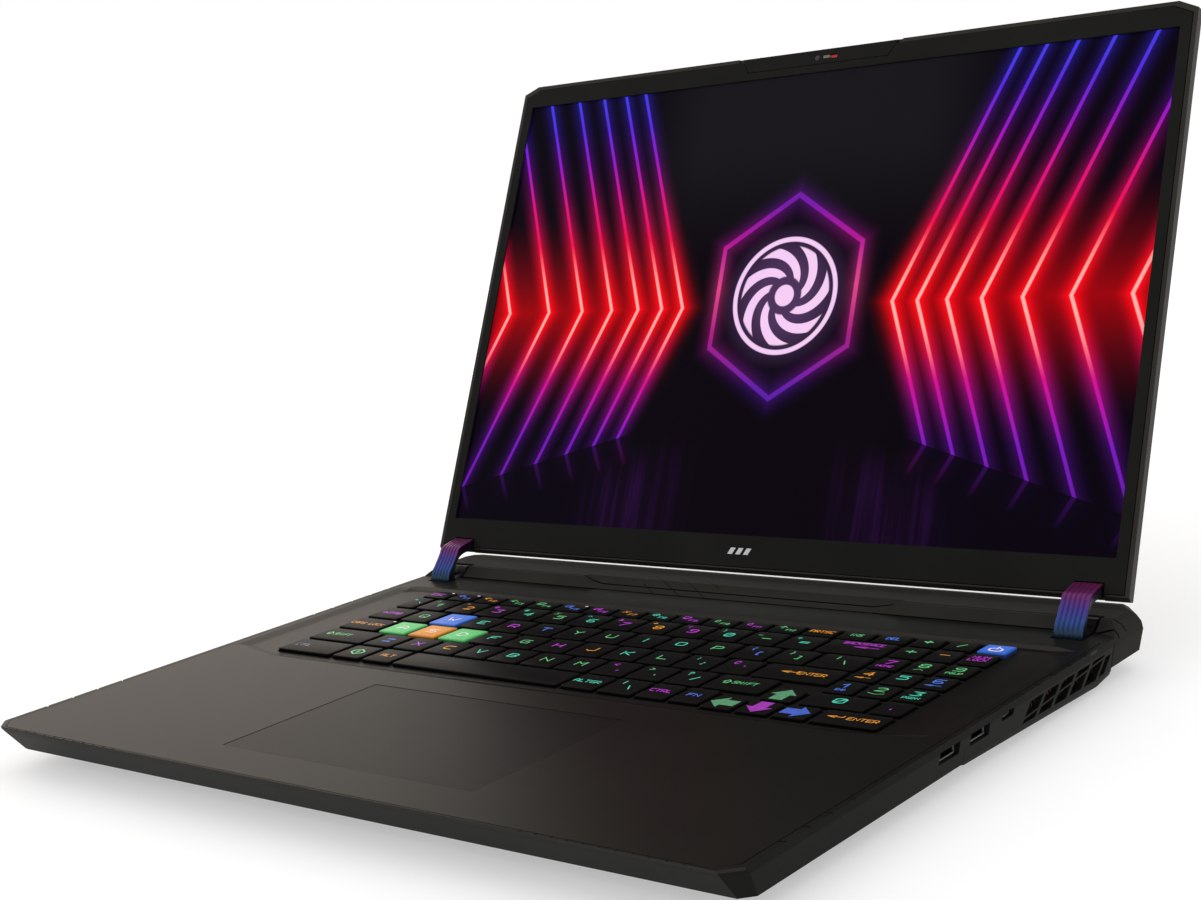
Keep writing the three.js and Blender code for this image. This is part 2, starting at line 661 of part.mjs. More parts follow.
function makeInternals() {
  piece('mainboard', mainboard(), FINISH.board);
  piece('heat_pipes', heatPipes(), FINISH.copper);
  piece('memory_module', block([-35, 35], [154, 184], [-11.6, BOARD_BOTTOM - GAP]), FINISH.board);
  piece('solid_state_drive', block([-84, -4], [187, 204], [-11.6, BOARD_BOTTOM - GAP]), FINISH.board);
  piece('battery_pack', batteryPack(), FINISH.battery);
  pair('speaker', block([152, 177.5], [34, 112], [-12.6, -7]), FINISH.fan);
  pair('heat_sink', heatSink(), FINISH.copper);
  pair('fan_housing', fanHousing(), FINISH.fan);
  pair('fan_impeller', fanImpeller(), FINISH.fan);
}

// ---------------------------------------------------------------- hinges

const EAR_GAP = [171.5, 174.5];   // the bracket's knuckle stands between the arm's two ears

// Fixed half: a knuckle round the pin, and a foot screwed inside the rear cover.
function hingeBracket() {
  const knuckle = prism(circle(HINGE_Y, HINGE_Z, BARREL_RADIUS), EAR_GAP);
  const web = prism([[HINGE_Y, -1.6], [287, -6.5], [287, 2], [HINGE_Y + 1, 2.2]], EAR_GAP);
  const foot = block([153, 179], [285.6, 290.5], [-8, 2.2]);
  const bore = prism(circle(HINGE_Y, HINGE_Z, PIN_RADIUS + 0.3), [EAR_GAP[0] - 1, EAR_GAP[1] + 1]);
  return knuckle.add(web).add(foot).subtract(bore);
}

// Moving half: an arch out of the deck's slot, two ears with the pin below and a leaf in the lid.
function hingeArm() {
  const across = [HINGE_IN + 0.6, HINGE_OUT - 0.6];
  const arch = prism([
    ...arc(HINGE_Y, HINGE_Z, ARM_OUTER, 78, 188, 10),
    ...arc(HINGE_Y, HINGE_Z, ARM_INNER, 188, 78, 10),
  ], across);
  const ear = [[HINGE_Y, HINGE_Z], ...arc(HINGE_Y, HINGE_Z, ARM_OUTER, 186, 214, 3)];
  const hub = circle(HINGE_Y, HINGE_Z, BARREL_RADIUS);
  const pin = prism(circle(HINGE_Y, HINGE_Z, PIN_RADIUS, 16), across);
  let arm = arch.add(pin);
  for (const span of [[across[0], EAR_GAP[0] - GAP], [EAR_GAP[1] + GAP, across[1]]]) {
    arm = arm.add(prism(ear, span)).add(prism(hub, span));
  }
  const lidBar = ([t0, t1], [n0, n1]) => prism(
    [lidPoint(t0, n0), lidPoint(t1, n0), lidPoint(t1, n1), lidPoint(t0, n1)], across);
  const riser = lidBar([-16.6, -12.5], [-4.6, 2.4]);
  const leaf = lidBar([-14, 24], [-4.6, -3.9]);
  return arm.add(riser).add(leaf);
}

// The ribbed cover in front of the arm, from the slot in the deck up into the lid.
function hingeCover() {
  return prism([
    [252.5, -0.9], [252.6, 1.2], [254, 5], [256.3, 7.2], [260.8, 12.5], [263, 15.3], [273.7, 17.3],
    lidPoint(-10.6, -3.4), lidPoint(-12.2, -3.4), lidPoint(-12.2, 2.7),
    ...arc(HINGE_Y, HINGE_Z, ARM_OUTER + GAP, 80, 189, 9),
  ].reverse(), [HINGE_IN, HINGE_OUT]);
}

function makeHinges() {
  pair('hinge_bracket', hingeBracket(), FINISH.steel);
  pair('hinge_arm', hingeArm(), FINISH.steel);
  pair('hinge_cover', hingeCover(), FINISH.hinge);
}

// ---------------------------------------------------------------- lid, in u, t and n

const RIM = 2;                    // width of the lid cover's front rim
const CHAMFER_ACROSS = 9;
const CHAMFER_UP = 4;

function lidRing(inset, bottom, n) {
  const half = LID_HALF - inset;
  return mirrorPoints([
    [half, bottom, n], [half, LID_TOP - inset - CHAMFER_UP, n],
    [half - CHAMFER_ACROSS, LID_TOP - inset, n],
  ]);
}

function lidOutline(inset, bottom) {
  const half = LID_HALF - inset;
  const top = LID_TOP - inset;
  return [
    [-half, bottom], [half, bottom], [half, top - CHAMFER_UP], [half - CHAMFER_ACROSS, top],
    [-half + CHAMFER_ACROSS, top], [-half, top - CHAMFER_UP],
  ];
}

const hingeNotch = () => block(
  [HINGE_IN - GAP, HINGE_OUT + GAP], [LID_BOTTOM - 1, -10.2], [-4.9, 2]);

function lidCover() {
  const outer = hull([
    ...lidRing(0, -15.7, 0.1), ...lidRing(0, LID_BOTTOM, -2), ...lidRing(0, -16.8, -4),
    ...lidRing(1.6, -14.5, LID_BACK),
  ]);
  const room = plate(lidOutline(RIM, -15), [-5, 1]);
  const webcamGap = block([-46.9, 46.9], [237, LID_TOP + 1], [-0.7, 1]);
  return outer.subtract(room).subtract(bothSides(hingeNotch)).subtract(webcamGap);
}

// Outline of the webcam's trapezoid strip.
function webcamOutline(grow) {
  return [
    [-40.1 - grow, 233 - grow], [40.1 + grow, 233 - grow], [44.4 + grow, 240.3], [-44.4 - grow, 240.3],
  ];
}

function displayBezel() {
  const frame = plate(lidOutline(RIM + GAP, -14.7), [-0.5, BEZEL_FRONT]);
  const window = block([-SCREEN_HALF, SCREEN_HALF], [0, SCREEN_TALL], [-1, 1]);
  const webcam = plate(webcamOutline(GAP), [-1, 1]);
  return frame.subtract(window).subtract(bothSides(hingeNotch)).subtract(webcam);
}

const SHUTTER_SLOT = [3.3, 11.5];
const SHUTTER_T = [235.3, 237.3];

function webcamModule() {
  const strip = plate(webcamOutline(0), [-0.5, BEZEL_FRONT + 0.05]);
  const body = block([-38, 38], [233.6, 238.2], [-3.6, -0.4]);
  const lens = plate(circle(0, 236.3, 1.5, 16), [-0.1, 1]);
  const slot = block(SHUTTER_SLOT, SHUTTER_T, [-0.6, 1]);
  return strip.add(body).subtract(lens).subtract(slot);
}

function webcamShutter() {
  return block([SHUTTER_SLOT[0] + GAP, 7.2], [SHUTTER_T[0] + GAP, SHUTTER_T[1] - GAP], [-0.3, 0.5]);
}

function makeLid() {
  const panel = block([-184.7, 184.7], [-1.5, 230.4], [-3.6, -0.8]);
  piece('lid_cover', lidCover(), FINISH.lid, lid);
  piece('display_bezel', displayBezel(), FINISH.bezel, lid);
  piece('display_panel', panel, FINISH.screen, lid);
  piece('webcam_module', webcamModule(), FINISH.bezel, lid);
  piece('webcam_shutter', webcamShutter(), FINISH.shutter, lid);
}

// ---------------------------------------------------------------- assembly

function makeTouchpad() {
  piece('touchpad', block([-PAD_HALF, PAD_HALF], [PAD_FRONT, PAD_REAR], [-1.6, -0.1]), FINISH.casing);
}

piece('top_case', topCase(), FINISH.casing);
piece('bottom_cover', bottomCover(), FINISH.casing);
piece('rear_cover', rearCover(), FINISH.casing);
makeTouchpad();
makeKeyboard();
makeSockets();
makeInternals();
makeFeet();
makeHinges();
makeLid();

lid.position.set(0, SCREEN_Y, SCREEN_Z);
lid.rotation.x = LEAN;

// The lid's top back edge is the rearmost point; the front of the palm rest is at y = 0.
computer.updateMatrixWorld(true);
const reach = new THREE.Box3().setFromObject(computer, true);
computer.position.set(0, -(reach.min.y + reach.max.y) / 2, DECK_HEIGHT);

export default computer;
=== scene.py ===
"""Gaming laptop computer with its lid open: the looks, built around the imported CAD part.

Places are written in deck coordinates, in millimetres: x to the right, y backwards from the front
edge of the palm rest, z up from the palm rest. deck() turns them into the frame's metres, and
lid_point() does the same for x, t up the screen from its bottom edge and n out of the screen.
"""

from functools import reduce
import json
import math

import bpy
from mathutils import Matrix, Vector


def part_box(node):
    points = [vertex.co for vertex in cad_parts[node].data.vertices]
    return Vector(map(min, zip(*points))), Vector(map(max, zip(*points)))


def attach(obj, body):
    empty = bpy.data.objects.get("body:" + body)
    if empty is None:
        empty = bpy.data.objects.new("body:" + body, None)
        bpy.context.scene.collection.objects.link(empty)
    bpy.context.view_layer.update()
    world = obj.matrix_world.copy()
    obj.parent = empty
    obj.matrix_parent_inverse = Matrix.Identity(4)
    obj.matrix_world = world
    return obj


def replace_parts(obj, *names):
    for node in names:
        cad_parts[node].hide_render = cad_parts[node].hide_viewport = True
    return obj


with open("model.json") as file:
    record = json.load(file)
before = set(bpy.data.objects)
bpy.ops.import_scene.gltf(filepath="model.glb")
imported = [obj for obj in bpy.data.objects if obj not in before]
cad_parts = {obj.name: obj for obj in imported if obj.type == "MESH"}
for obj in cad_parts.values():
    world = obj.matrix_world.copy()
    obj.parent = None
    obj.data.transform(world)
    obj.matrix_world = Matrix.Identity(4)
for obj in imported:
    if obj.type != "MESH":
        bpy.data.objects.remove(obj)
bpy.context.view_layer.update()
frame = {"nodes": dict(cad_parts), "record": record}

MM = 0.001
CASE_LOW, CASE_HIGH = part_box("top_case")
DECK_FRONT = CASE_LOW.y
DECK_TOP = CASE_HIGH.z

# The open lid, as in the CAD: its slope, and the middle of the visible screen's bottom edge.
LEAN = math.radians(64.98)
SCREEN_Y, SCREEN_Z = 279.44, 26.43
SCREEN_TALL = 228.9

# The hinge covers: the hinge axis, the cover's sides, the room for the arm, and the front's ridges.
HINGE_Y, HINGE_Z = 268.3, 1.3
HINGE_IN, HINGE_OUT = 166.6, 179.2
ARM_CLEARANCE = 12.3
RIDGES = 6
RIDGE_HEIGHT = 0.42

# Where the paint changes, in deck coordinates.
SEAM_Y = 262.15  # the seam between the palm rest and the rear cover
FRONT_EDGE_Y = 6.6  # the back of the palm rest's sloping front edge
RECESS_WALL_Y = (236.6, 242)  # the keyboard recess's sloping rear wall
RECESS_END_X = (179.5, 185)  # the recess's gently sloping ends, on both sides
RECESS_END_Y = (60, 255)
SLOPES_Z = (-1.3, -0.03)  # the heights of these slopes, just below the deck


def deck(x, y, z):
    """A place in deck coordinates, in the frame's metres."""
    return Vector((x * MM, DECK_FRONT + y * MM, DECK_TOP + z * MM))


def lid_yz(t, n):
    """The deck y and z of a place t up the screen and n out of it."""
    y = SCREEN_Y + t * math.cos(LEAN) - n * math.sin(LEAN)
    z = SCREEN_Z + t * math.sin(LEAN) + n * math.cos(LEAN)
    return y, z


def lid_point(x, t, n):
    return deck(x, *lid_yz(t, n))


def linear(red, green, blue):
    """A colour given as 0 to 255 display values, as the linear RGBA that Blender works in."""
    def channel(value):
        value /= 255
        return value / 12.92 if value <= 0.04045 else ((value + 0.055) / 1.055) ** 2.4
    return (channel(red), channel(green), channel(blue), 1)


def link(obj):
    bpy.context.scene.collection.objects.link(obj)


# ---------------- materials

class Look:
    """A node material on one Principled shader, with short calls for the nodes that it needs."""

    def __init__(self, name):
        self.material = bpy.data.materials.new(name)
        self.material.use_nodes = True
        self.tree = self.material.node_tree
        self.shader = self.tree.nodes["Principled BSDF"]

    def node(self, kind, **settings):
        made = self.tree.nodes.new("ShaderNode" + kind)
        for key, value in settings.items():
            setattr(made, key, value)
        return made

    def feed(self, socket, value):
        if isinstance(value, bpy.types.NodeSocket):
            self.tree.links.new(value, socket)
        else:
            socket.default_value = value

    def set(self, **values):
        """Sets the shader's sockets: base_color becomes Base Color, and so on."""
        names = {"specular": "Specular IOR Level"}
        for key, value in values.items():
            self.feed(self.shader.inputs[names.get(key, key.replace("_", " ").title())], value)

    def place(self):
        return self.node("TexCoord").outputs["Object"]

    def math(self, operation, *values):
        made = self.node("Math", operation=operation)
        for socket, value in zip(made.inputs, values):
            self.feed(socket, value)
        return made.outputs[0]

    def vector(self, operation, *values, output="Vector"):
        made = self.node("VectorMath", operation=operation)
        for socket, value in zip(made.inputs, values):
            self.feed(socket, value)
        return made.outputs[output]

    def axes(self, vector):
        made = self.node("SeparateXYZ")
        self.feed(made.inputs[0], vector)
        return made.outputs

    def remap(self, value, from_low, from_high, to_low=0.0, to_high=1.0, way="LINEAR"):
        """Maps one range of values onto another, and holds the ends."""
        made = self.node("MapRange", interpolation_type=way)
        for socket, number in zip(made.inputs, (value, from_low, from_high, to_low, to_high)):
            self.feed(socket, number)
        return made.outputs[0]

    def ease(self, *values):
        """Maps as remap does, but turns softly at the ends."""
        return self.remap(*values, way="SMOOTHSTEP")

    def chain(self, operation, *values):
        """Joins the values with one operation, from left to right."""
        return reduce(lambda a, b: self.math(operation, a, b), values)

    def times(self, *values):
        return self.chain("MULTIPLY", *values)

    def apart(self, first, second):
        """The distance between two values."""
        return self.math("ABSOLUTE", self.math("SUBTRACT", first, second))

    def within(self, value, low, high):
        """1 where the value lies between low and high, otherwise 0."""
        return self.times(self.math("GREATER_THAN", value, low), self.math("LESS_THAN", value, high))

    def ramp(self, value, stops):
        """The colour at a value from 0 to 1, along stops of (value, display colour)."""
        made = self.node("ValToRGB")
        self.feed(made.inputs[0], value)
        elements = made.color_ramp.elements
        while len(elements) < len(stops):
            elements.new(1)
        for element, (position, colour) in zip(elements, stops):
            element.position = position
            element.color = linear(*colour)
        return made.outputs[0]

    def mix(self, share, first, second, blend="MIX"):
        made = self.node("Mix", data_type="RGBA", blend_type=blend)
        for index, value in ((0, share), (6, first), (7, second)):
            self.feed(made.inputs[index], value)
        return made.outputs[2]

    def noise(self, size, detail=2, vector=None):
        """Noise whose features are about size millimetres."""
        made = self.node("TexNoise")
        self.feed(made.inputs["Vector"], vector or self.place())
        made.inputs["Scale"].default_value = 1 / (size * MM)
        made.inputs["Detail"].default_value = detail
        return made.outputs["Fac"]

    def bump(self, height, depth, onto=None):
        """Bump of depth millimetres, on top of the normal onto."""
        made = self.node("Bump")
        made.inputs["Distance"].default_value = depth * MM
        self.feed(made.inputs["Height"], height)
        if onto is not None:
            self.feed(made.inputs["Normal"], onto)
        return made.outputs[0]


# Tints of the reflections, the painted shade of a groove, the painted highlight of the strips, and no
# light.
WARM = (1.0, 0.93, 0.86, 1)
NEUTRAL = (1, 1, 1, 1)
GROOVE_SHADE = linear(3, 3, 3)
STRIP_HIGHLIGHT = linear(50, 48, 45)
UNLIT = (0, 0, 0, 1)

# How far a surface's blotches go from its colour, either way.
TONE_SPREAD = 0.132


def plain_look(name, colour, roughness, metallic=0.0, grain=0.25, depth=0.02, edge=0.0, specular=0.5,
               sheen=NEUTRAL, lines=None, strip=None, level=None):
    """A moulded, painted or metal surface: soft blotches of tone, a fine grain and rounded edges.

    lines, strip and level, if given, take the look and return a value from 0 to 1. It is 1 in thin
    grooves given painted shade, on a strip given a painted highlight, and where a slope is blended into
    the deck.
    """
    look = Look(name)
    grains = look.noise(grain)
    dark = tuple(c * (1 - TONE_SPREAD) for c in colour[:3]) + (1,)
    light = tuple(min(1, c * (1 + TONE_SPREAD)) for c in colour[:3]) + (1,)
    blotches = look.math("ADD", look.noise(45, 3), look.times(grains, 0.35))
    shade = look.mix(look.remap(blotches, 0.45, 0.9), dark, light)
    if strip:
        # The sloping strips get a painted highlight, lighter than the paint round them.
        shade = look.mix(strip(look), shade, STRIP_HIGHLIGHT)
    if lines:
        groove = lines(look)
        # Painted shade in the grooves: near-black colour, and no reflection.
        shade = look.mix(groove, shade, GROOVE_SHADE)
        specular = look.remap(groove, 0, 1, specular, 0)
    look.set(base_color=shade, metallic=metallic, specular=specular, specular_tint=sheen)
    look.set(roughness=look.remap(grains, 0.3, 0.7, roughness - 0.06, roughness + 0.06))
    rounded = None
    if edge:
        bevel = look.node("Bevel", samples=4)
        bevel.inputs["Radius"].default_value = edge * MM
        rounded = bevel.outputs[0]
    normal = look.bump(grains, depth, onto=rounded)
    if level:
        blend = look.node("Mix", data_type="VECTOR")
        for index, value in ((0, level(look)), (4, normal), (5, (0, 0, 1))):
            look.feed(blend.inputs[index], value)
        normal = blend.outputs[1]
    look.set(normal=normal)
    return look.material


def glow_look(name, colour, strength):
    """A lit legend: its light is a little uneven, as through a laser-cut coat of paint."""
    look = Look(name)
    level = look.remap(look.noise(1.6), 0.3, 0.7, 0.75, 1.1)
    look.set(base_color=linear(10, 10, 11), roughness=0.5, specular=0.3)
    look.set(emission_color=look.mix(level, UNLIT, linear(*colour)), emission_strength=strength)
    return look.material


def lit_cap_look(name, colour, node):
    """A clear key cap lit from below: bright on top, mottled, and dim round its sides."""
    low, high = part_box(node)
    half = (high - low) / 2
    look = Look(name)
    place = look.place()
    reach = look.axes(look.vector("SUBTRACT", place, tuple((low + high) / 2)))
    across = look.math("DIVIDE", look.math("ABSOLUTE", reach[0]), half.x)
    along = look.math("DIVIDE", look.math("ABSOLUTE", reach[1]), half.y)
    middle = look.ease(look.math("MAXIMUM", across, along), 1.0, 0.72, 0.55, 1.0)
    mottle = look.remap(look.noise(0.9, 3), 0.35, 0.65, 0.74, 1.04)
    top = look.ease(look.axes(place)[2], high.z - 0.9 * MM, high.z - 0.15 * MM)
    level = look.times(middle, mottle, look.remap(top, 0, 1, 0.16, 1))
    full = linear(*colour)
    look.set(base_color=tuple(c * 0.08 for c in full[:3]) + (1,), roughness=0.4, specular=0.05)
    look.set(emission_color=look.mix(level, UNLIT, full), emission_strength=0.92)
    return look.material


def deck_axes(look):
    """The x, y and z of the shaded point in deck coordinates, in millimetres."""
    reach = look.vector("SUBTRACT", look.place(), tuple(deck(0, 0, 0)))
    return look.axes(look.vector("MULTIPLY", reach, (1 / MM, 1 / MM, 1 / MM)))


def seam_lines(look):
    """Painted shade in the seam between the palm rest and the rear cover."""
    _, y, z = deck_axes(look)
    seam = look.remap(look.apart(y, SEAM_Y), 0.5, 0.3)
    return look.times(seam, look.math("GREATER_THAN", z, -1.2))


def riser_lines(look):
    """Painted shade in the seam, a groove along the rear cover's crest, and slanted lines in its
    middle.
    """
    x, y, z = deck_axes(look)
    crest = look.remap(look.math("ABSOLUTE", x), 76, 89, 265.9, 269.3)
    groove = look.remap(look.apart(y, crest), 0.42, 0.24)
    slant = look.math("ADD", x, look.times(look.math("SUBTRACT", y, 264), 1.7))
    slanted = look.remap(look.math("PINGPONG", slant, 7.5), 0.5, 0.2, 0, 0.7)
    slanted = look.times(slanted, look.within(x, -52, -8), look.math("LESS_THAN", y, 276))
    on_top = look.math("GREATER_THAN", z, -0.5)
    marks = look.times(look.math("MAXIMUM", groove, slanted), on_top)
    return look.math("MAXIMUM", marks, seam_lines(look))


def highlight_strips(look):
    """Painted highlight on the keyboard recess's sloping rear wall and on the sloping edge of the palm
    rest's front.
    """
    _, y, z = deck_axes(look)
    front = look.times(look.math("LESS_THAN", y, FRONT_EDGE_Y), 0.7)
    strips = look.math("ADD", look.within(y, *RECESS_WALL_Y), front)
    return look.times(strips, look.within(z, *SLOPES_Z))


def recess_ends(look):
    """The keyboard recess's ends, which run softly into the deck."""
    x, y, z = deck_axes(look)
    ends = look.within(look.math("ABSOLUTE", x), *RECESS_END_X)
    return look.times(ends, look.within(y, *RECESS_END_Y), look.within(z, *SLOPES_Z), 0.85)


CASING = plain_look("casing_paint", linear(24.5, 24.5, 21.5), 0.36, edge=0.14, specular=0.018,
                    sheen=WARM, lines=seam_lines, strip=highlight_strips, level=recess_ends)
REAR = plain_look("rear_cover_paint", linear(43, 42, 39), 0.5, edge=0.25, specular=0.007,
                  lines=riser_lines)
PAD = plain_look("touchpad_glass", linear(25, 24.5, 23), 0.35, grain=0.15, depth=0.006,
                 specular=0.013, sheen=WARM)
MOULDING = plain_look("moulding", linear(26, 25, 23), 0.46, grain=0.3, depth=0.03, edge=0.25,
                      specular=0.08)
LID_METAL = plain_look("lid_metal", linear(46, 43, 40), 0.38, 0.4, edge=0.2, specular=0.1)
BEZEL = plain_look("bezel_moulding", linear(29, 28.5, 27.5), 0.42, grain=0.3, depth=0.03, edge=0.12,
                   specular=0.015)
CAP = plain_look("keycap_plastic", linear(23, 22.5, 21.5), 0.3, grain=0.22, depth=0.008,
                 specular=0.005)
# Near-black skirts: painted shade for the shadows in the gaps between the keys.
CAP_SKIRT_SHADE = plain_look("keycap_skirt_shade", linear(6, 6, 6), 0.6, specular=0.01)
RECESS = plain_look("recess_paint", linear(25, 24, 22), 0.36, edge=0.1, specular=0.018, sheen=WARM,
                    level=recess_ends)
STEEL = plain_look("stamped_steel", linear(150, 150, 152), 0.32, 1.0, grain=0.8, depth=0.004)
DARK_STEEL = plain_look("blackened_steel", linear(30, 30, 32), 0.5, 0.6, grain=0.8, depth=0.004)
PLATED = plain_look("plated_socket", linear(190, 190, 194), 0.3, 0.9, grain=0.8, depth=0.004)
COPPER = plain_look("copper", linear(196, 118, 78), 0.3, 1.0, grain=0.8, depth=0.006)
DULL_COPPER = plain_look("dull_copper", linear(92, 58, 42), 0.45, 0.5, grain=0.8, depth=0.006)
RUBBER = plain_look("rubber", linear(26, 26, 26), 0.8, grain=0.35, depth=0.04)
BOARD = plain_look("circuit_board", linear(22, 48, 36), 0.45, 0.1, grain=1.2, depth=0.03)
INNER = plain_look("inner_moulding", linear(26, 26, 27), 0.6)
# Black that stands in for shade: the vents' dark inside and the microphones' holes.
SHADE_BLACK = plain_look("painted_shade_black", linear(7, 7, 7), 0.6, grain=0.3, specular=0.1)
LENS = plain_look("lens_glass", linear(10, 10, 18), 0.12, grain=0.6, depth=0.0)
SHUTTER = plain_look("shutter_plastic", linear(96, 92, 88), 0.5)
MARK = plain_look("pale_mark", linear(190, 190, 190), 0.35, 0.4)
RED_PATCH = plain_look("red_patch", linear(190, 40, 42), 0.5)

# Legend colours of the backlight.
GREEN = glow_look("glow_green", (92, 190, 120), 1.25)
TEAL = glow_look("glow_teal", (70, 205, 172), 1.25)
MAGENTA = glow_look("glow_magenta", (186, 48, 205), 1.25)
BLUE = glow_look("glow_blue", (76, 120, 226), 1.25)
ORANGE = glow_look("glow_orange", (226, 148, 40), 1.25)
VIOLET = glow_look("glow_violet", (150, 140, 190), 0.55)
WHITE = glow_look("glow_white", (255, 226, 232), 1.0)
ARROW_GREEN = glow_look("arrow_green", (86, 158, 112), 0.85)
ARROW_MAGENTA = glow_look("arrow_magenta", (166, 44, 184), 0.9)
ARROW_BLUE = glow_look("arrow_blue", (62, 98, 204), 0.9)


def socket_look():
    """Plated metal at the mouth of a side socket, with painted shade deeper in."""
    look = Look("side_socket")
    side = look.math("ABSOLUTE", deck_axes(look)[0])
    mouth = look.ease(side, 186.6, 187.35)
    # Painted shade: the colour darkens from the plated metal at the mouth inwards.
    look.set(base_color=look.mix(mouth, linear(10, 10, 11), linear(150, 150, 154)), metallic=0.6)
    look.set(roughness=look.remap(look.noise(0.8), 0.3, 0.7, 0.3, 0.4))
    return look.material


def hinge_look():
    """Ribbed metal that fades from teal navy at the deck through blue and violet to crimson."""
    look = Look("hinge_fade")
    x, _, z = deck_axes(look)
    wander = look.remap(look.noise(7), 0.3, 0.7, -0.8, 0.8)
    level = look.remap(look.math("ADD", z, wander), -1, 18)
    colour = look.ramp(level, [
        (0.0, (10, 34, 46)), (0.18, (12, 50, 78)), (0.38, (32, 62, 134)),
        (0.6, (62, 44, 134)), (0.8, (98, 28, 104)), (1.0, (112, 26, 74)),
    ])
    from_side = look.math("SUBTRACT", look.math("ABSOLUTE", x), HINGE_IN)
    ridge = look.math("DIVIDE", from_side, (HINGE_OUT - HINGE_IN) / RIDGES)
    # Painted shade darkens the valleys between the ridges.
    valley_shade = look.remap(look.math("PINGPONG", ridge, 0.5), 0.13, 0.04, 0, 0.8)
    look.set(base_color=look.mix(valley_shade, colour, linear(4, 4, 8)), metallic=0.5)
    look.set(roughness=look.remap(look.noise(0.4), 0.3, 0.7, 0.3, 0.42))
    look.set(normal=look.bump(look.noise(0.25), 0.01))
    return look.material


# The picture on the screen, in millimetres from the screen's bottom middle.
PICTURE_X = 1.9  # the picture's middle, to the right of the lid's
APEX_T = 111.4  # height of the chevrons' points
APEXES = (59.4, 72.3, 87.3, 104.4, 124.0, 146.6, 174.0)
CHEVRON_SLOPE = 0.405  # how fast a chevron's arms lean inwards
FLOOR_T, FLOOR_SLOPE = 69.3852, 0.283
SIGN_T, SIGN_HALF = 116, 39


def screen_look():
    """The display's picture: neon chevrons on both sides of a glowing six-sided sign."""
    look = Look("display_picture")
    reach = look.vector("SUBTRACT", look.place(), tuple(lid_point(PICTURE_X, 0, 0)))
    up = (0, math.cos(LEAN), math.sin(LEAN))
    x = look.math("DIVIDE", look.axes(reach)[0], MM)
    t = look.math("DIVIDE", look.vector("DOT_PRODUCT", reach, up, output="Value"), MM)
    picture = sign_on(look, neon_room(look, reach, x, t), x, t)

    # Nothing is lit outside the visible screen.
    inside = look.within(t, 0, SCREEN_TALL)
    look.set(base_color=linear(2, 2, 2), specular=0.02)
    look.set(roughness=look.remap(look.noise(0.3), 0.3, 0.7, 0.3, 0.36))
    look.set(emission_color=look.mix(inside, UNLIT, picture), emission_strength=1)
    return look.material


def neon_room(look, reach, x, t):
    """Neon chevrons with red haze between them, over a dark floor that mirrors them."""
    side = look.math("ABSOLUTE", x)

    # Below a floor line the picture repeats upside down and dim, as a reflection.
    floor = look.math("MULTIPLY_ADD", side, -FLOOR_SLOPE, FLOOR_T)
    above = look.math("SUBTRACT", t, floor)
    folded = look.math("ADD", floor, look.math("ABSOLUTE", above))
    on_floor = look.math("LESS_THAN", above, 0)
    off_floor = look.math("SUBTRACT", 1, on_floor)
    depth = look.math("MINIMUM", above, 0)
    mirrored = look.times(on_floor, look.remap(depth, -16, 0, 0, 0.14))
    fade = look.math("ADD", off_floor, mirrored)

    # Distance from the nearest chevron, whose two arms meet at its apex.
    arm = look.apart(folded, APEX_T)
    line = look.math("MULTIPLY_ADD", arm, -CHEVRON_SLOPE, side)
    nearest = look.chain("MINIMUM", *[look.apart(line, apex) for apex in APEXES])
    core = look.ease(nearest, 1.25, 0.55)
    halo = look.math("POWER", look.remap(nearest, 11, 0), 2.6)

    # Colour by height: blue at the top, violet, magenta, red at the apexes, and back to violet.
    neon = look.ramp(look.remap(folded, 0, SCREEN_TALL), [
        (0.0, (84, 24, 150)), (0.2, (124, 26, 190)), (0.3, (200, 18, 160)),
        (0.38, (245, 12, 84)), (0.44, (255, 8, 22)), (0.55, (255, 8, 22)),
        (0.64, (246, 12, 70)), (0.74, (222, 18, 128)), (0.84, (150, 24, 196)),
        (0.92, (90, 42, 222)), (1.0, (66, 62, 236)),
    ])
    hot = look.ease(arm, 38, 4, 0, 0.85)
    near_apex = look.ease(arm, 75, 0, 0.2, 1)

    # Dark grey above the sign, and red haze between the chevrons.
    upper = look.ease(t, 130, 200)
    night = look.mix(upper, linear(8, 2, 11), linear(22, 20, 25))
    night = look.mix(look.ease(side, 60, 110), night, linear(6, 1, 13))
    haze = look.math("POWER", look.remap(arm, 58, 0, 0, 0.75), 2.4)
    haze = look.times(haze, look.ease(line, 44, 66), off_floor)
    picture = look.mix(haze, night, linear(214, 0, 8))
    picture = look.mix(look.times(halo, near_apex, fade), picture, neon, "ADD")
    picture = look.mix(look.times(core, fade), picture, look.mix(hot, neon, linear(255, 190, 184)))

    # Violet streaks on the floor.
    spread = look.ease(look.apart(side, 74), 42, 0, 0, 0.4)
    stretched = look.vector("MULTIPLY", reach, (1, 0.05, 0.05))
    streaks = look.remap(look.noise(5, vector=stretched), 0.45, 0.75, 0.15, 1)
    sheen = look.times(on_floor, spread, look.ease(depth, -4, -32), streaks)
    return look.mix(sheen, picture, linear(64, 18, 92), "ADD")


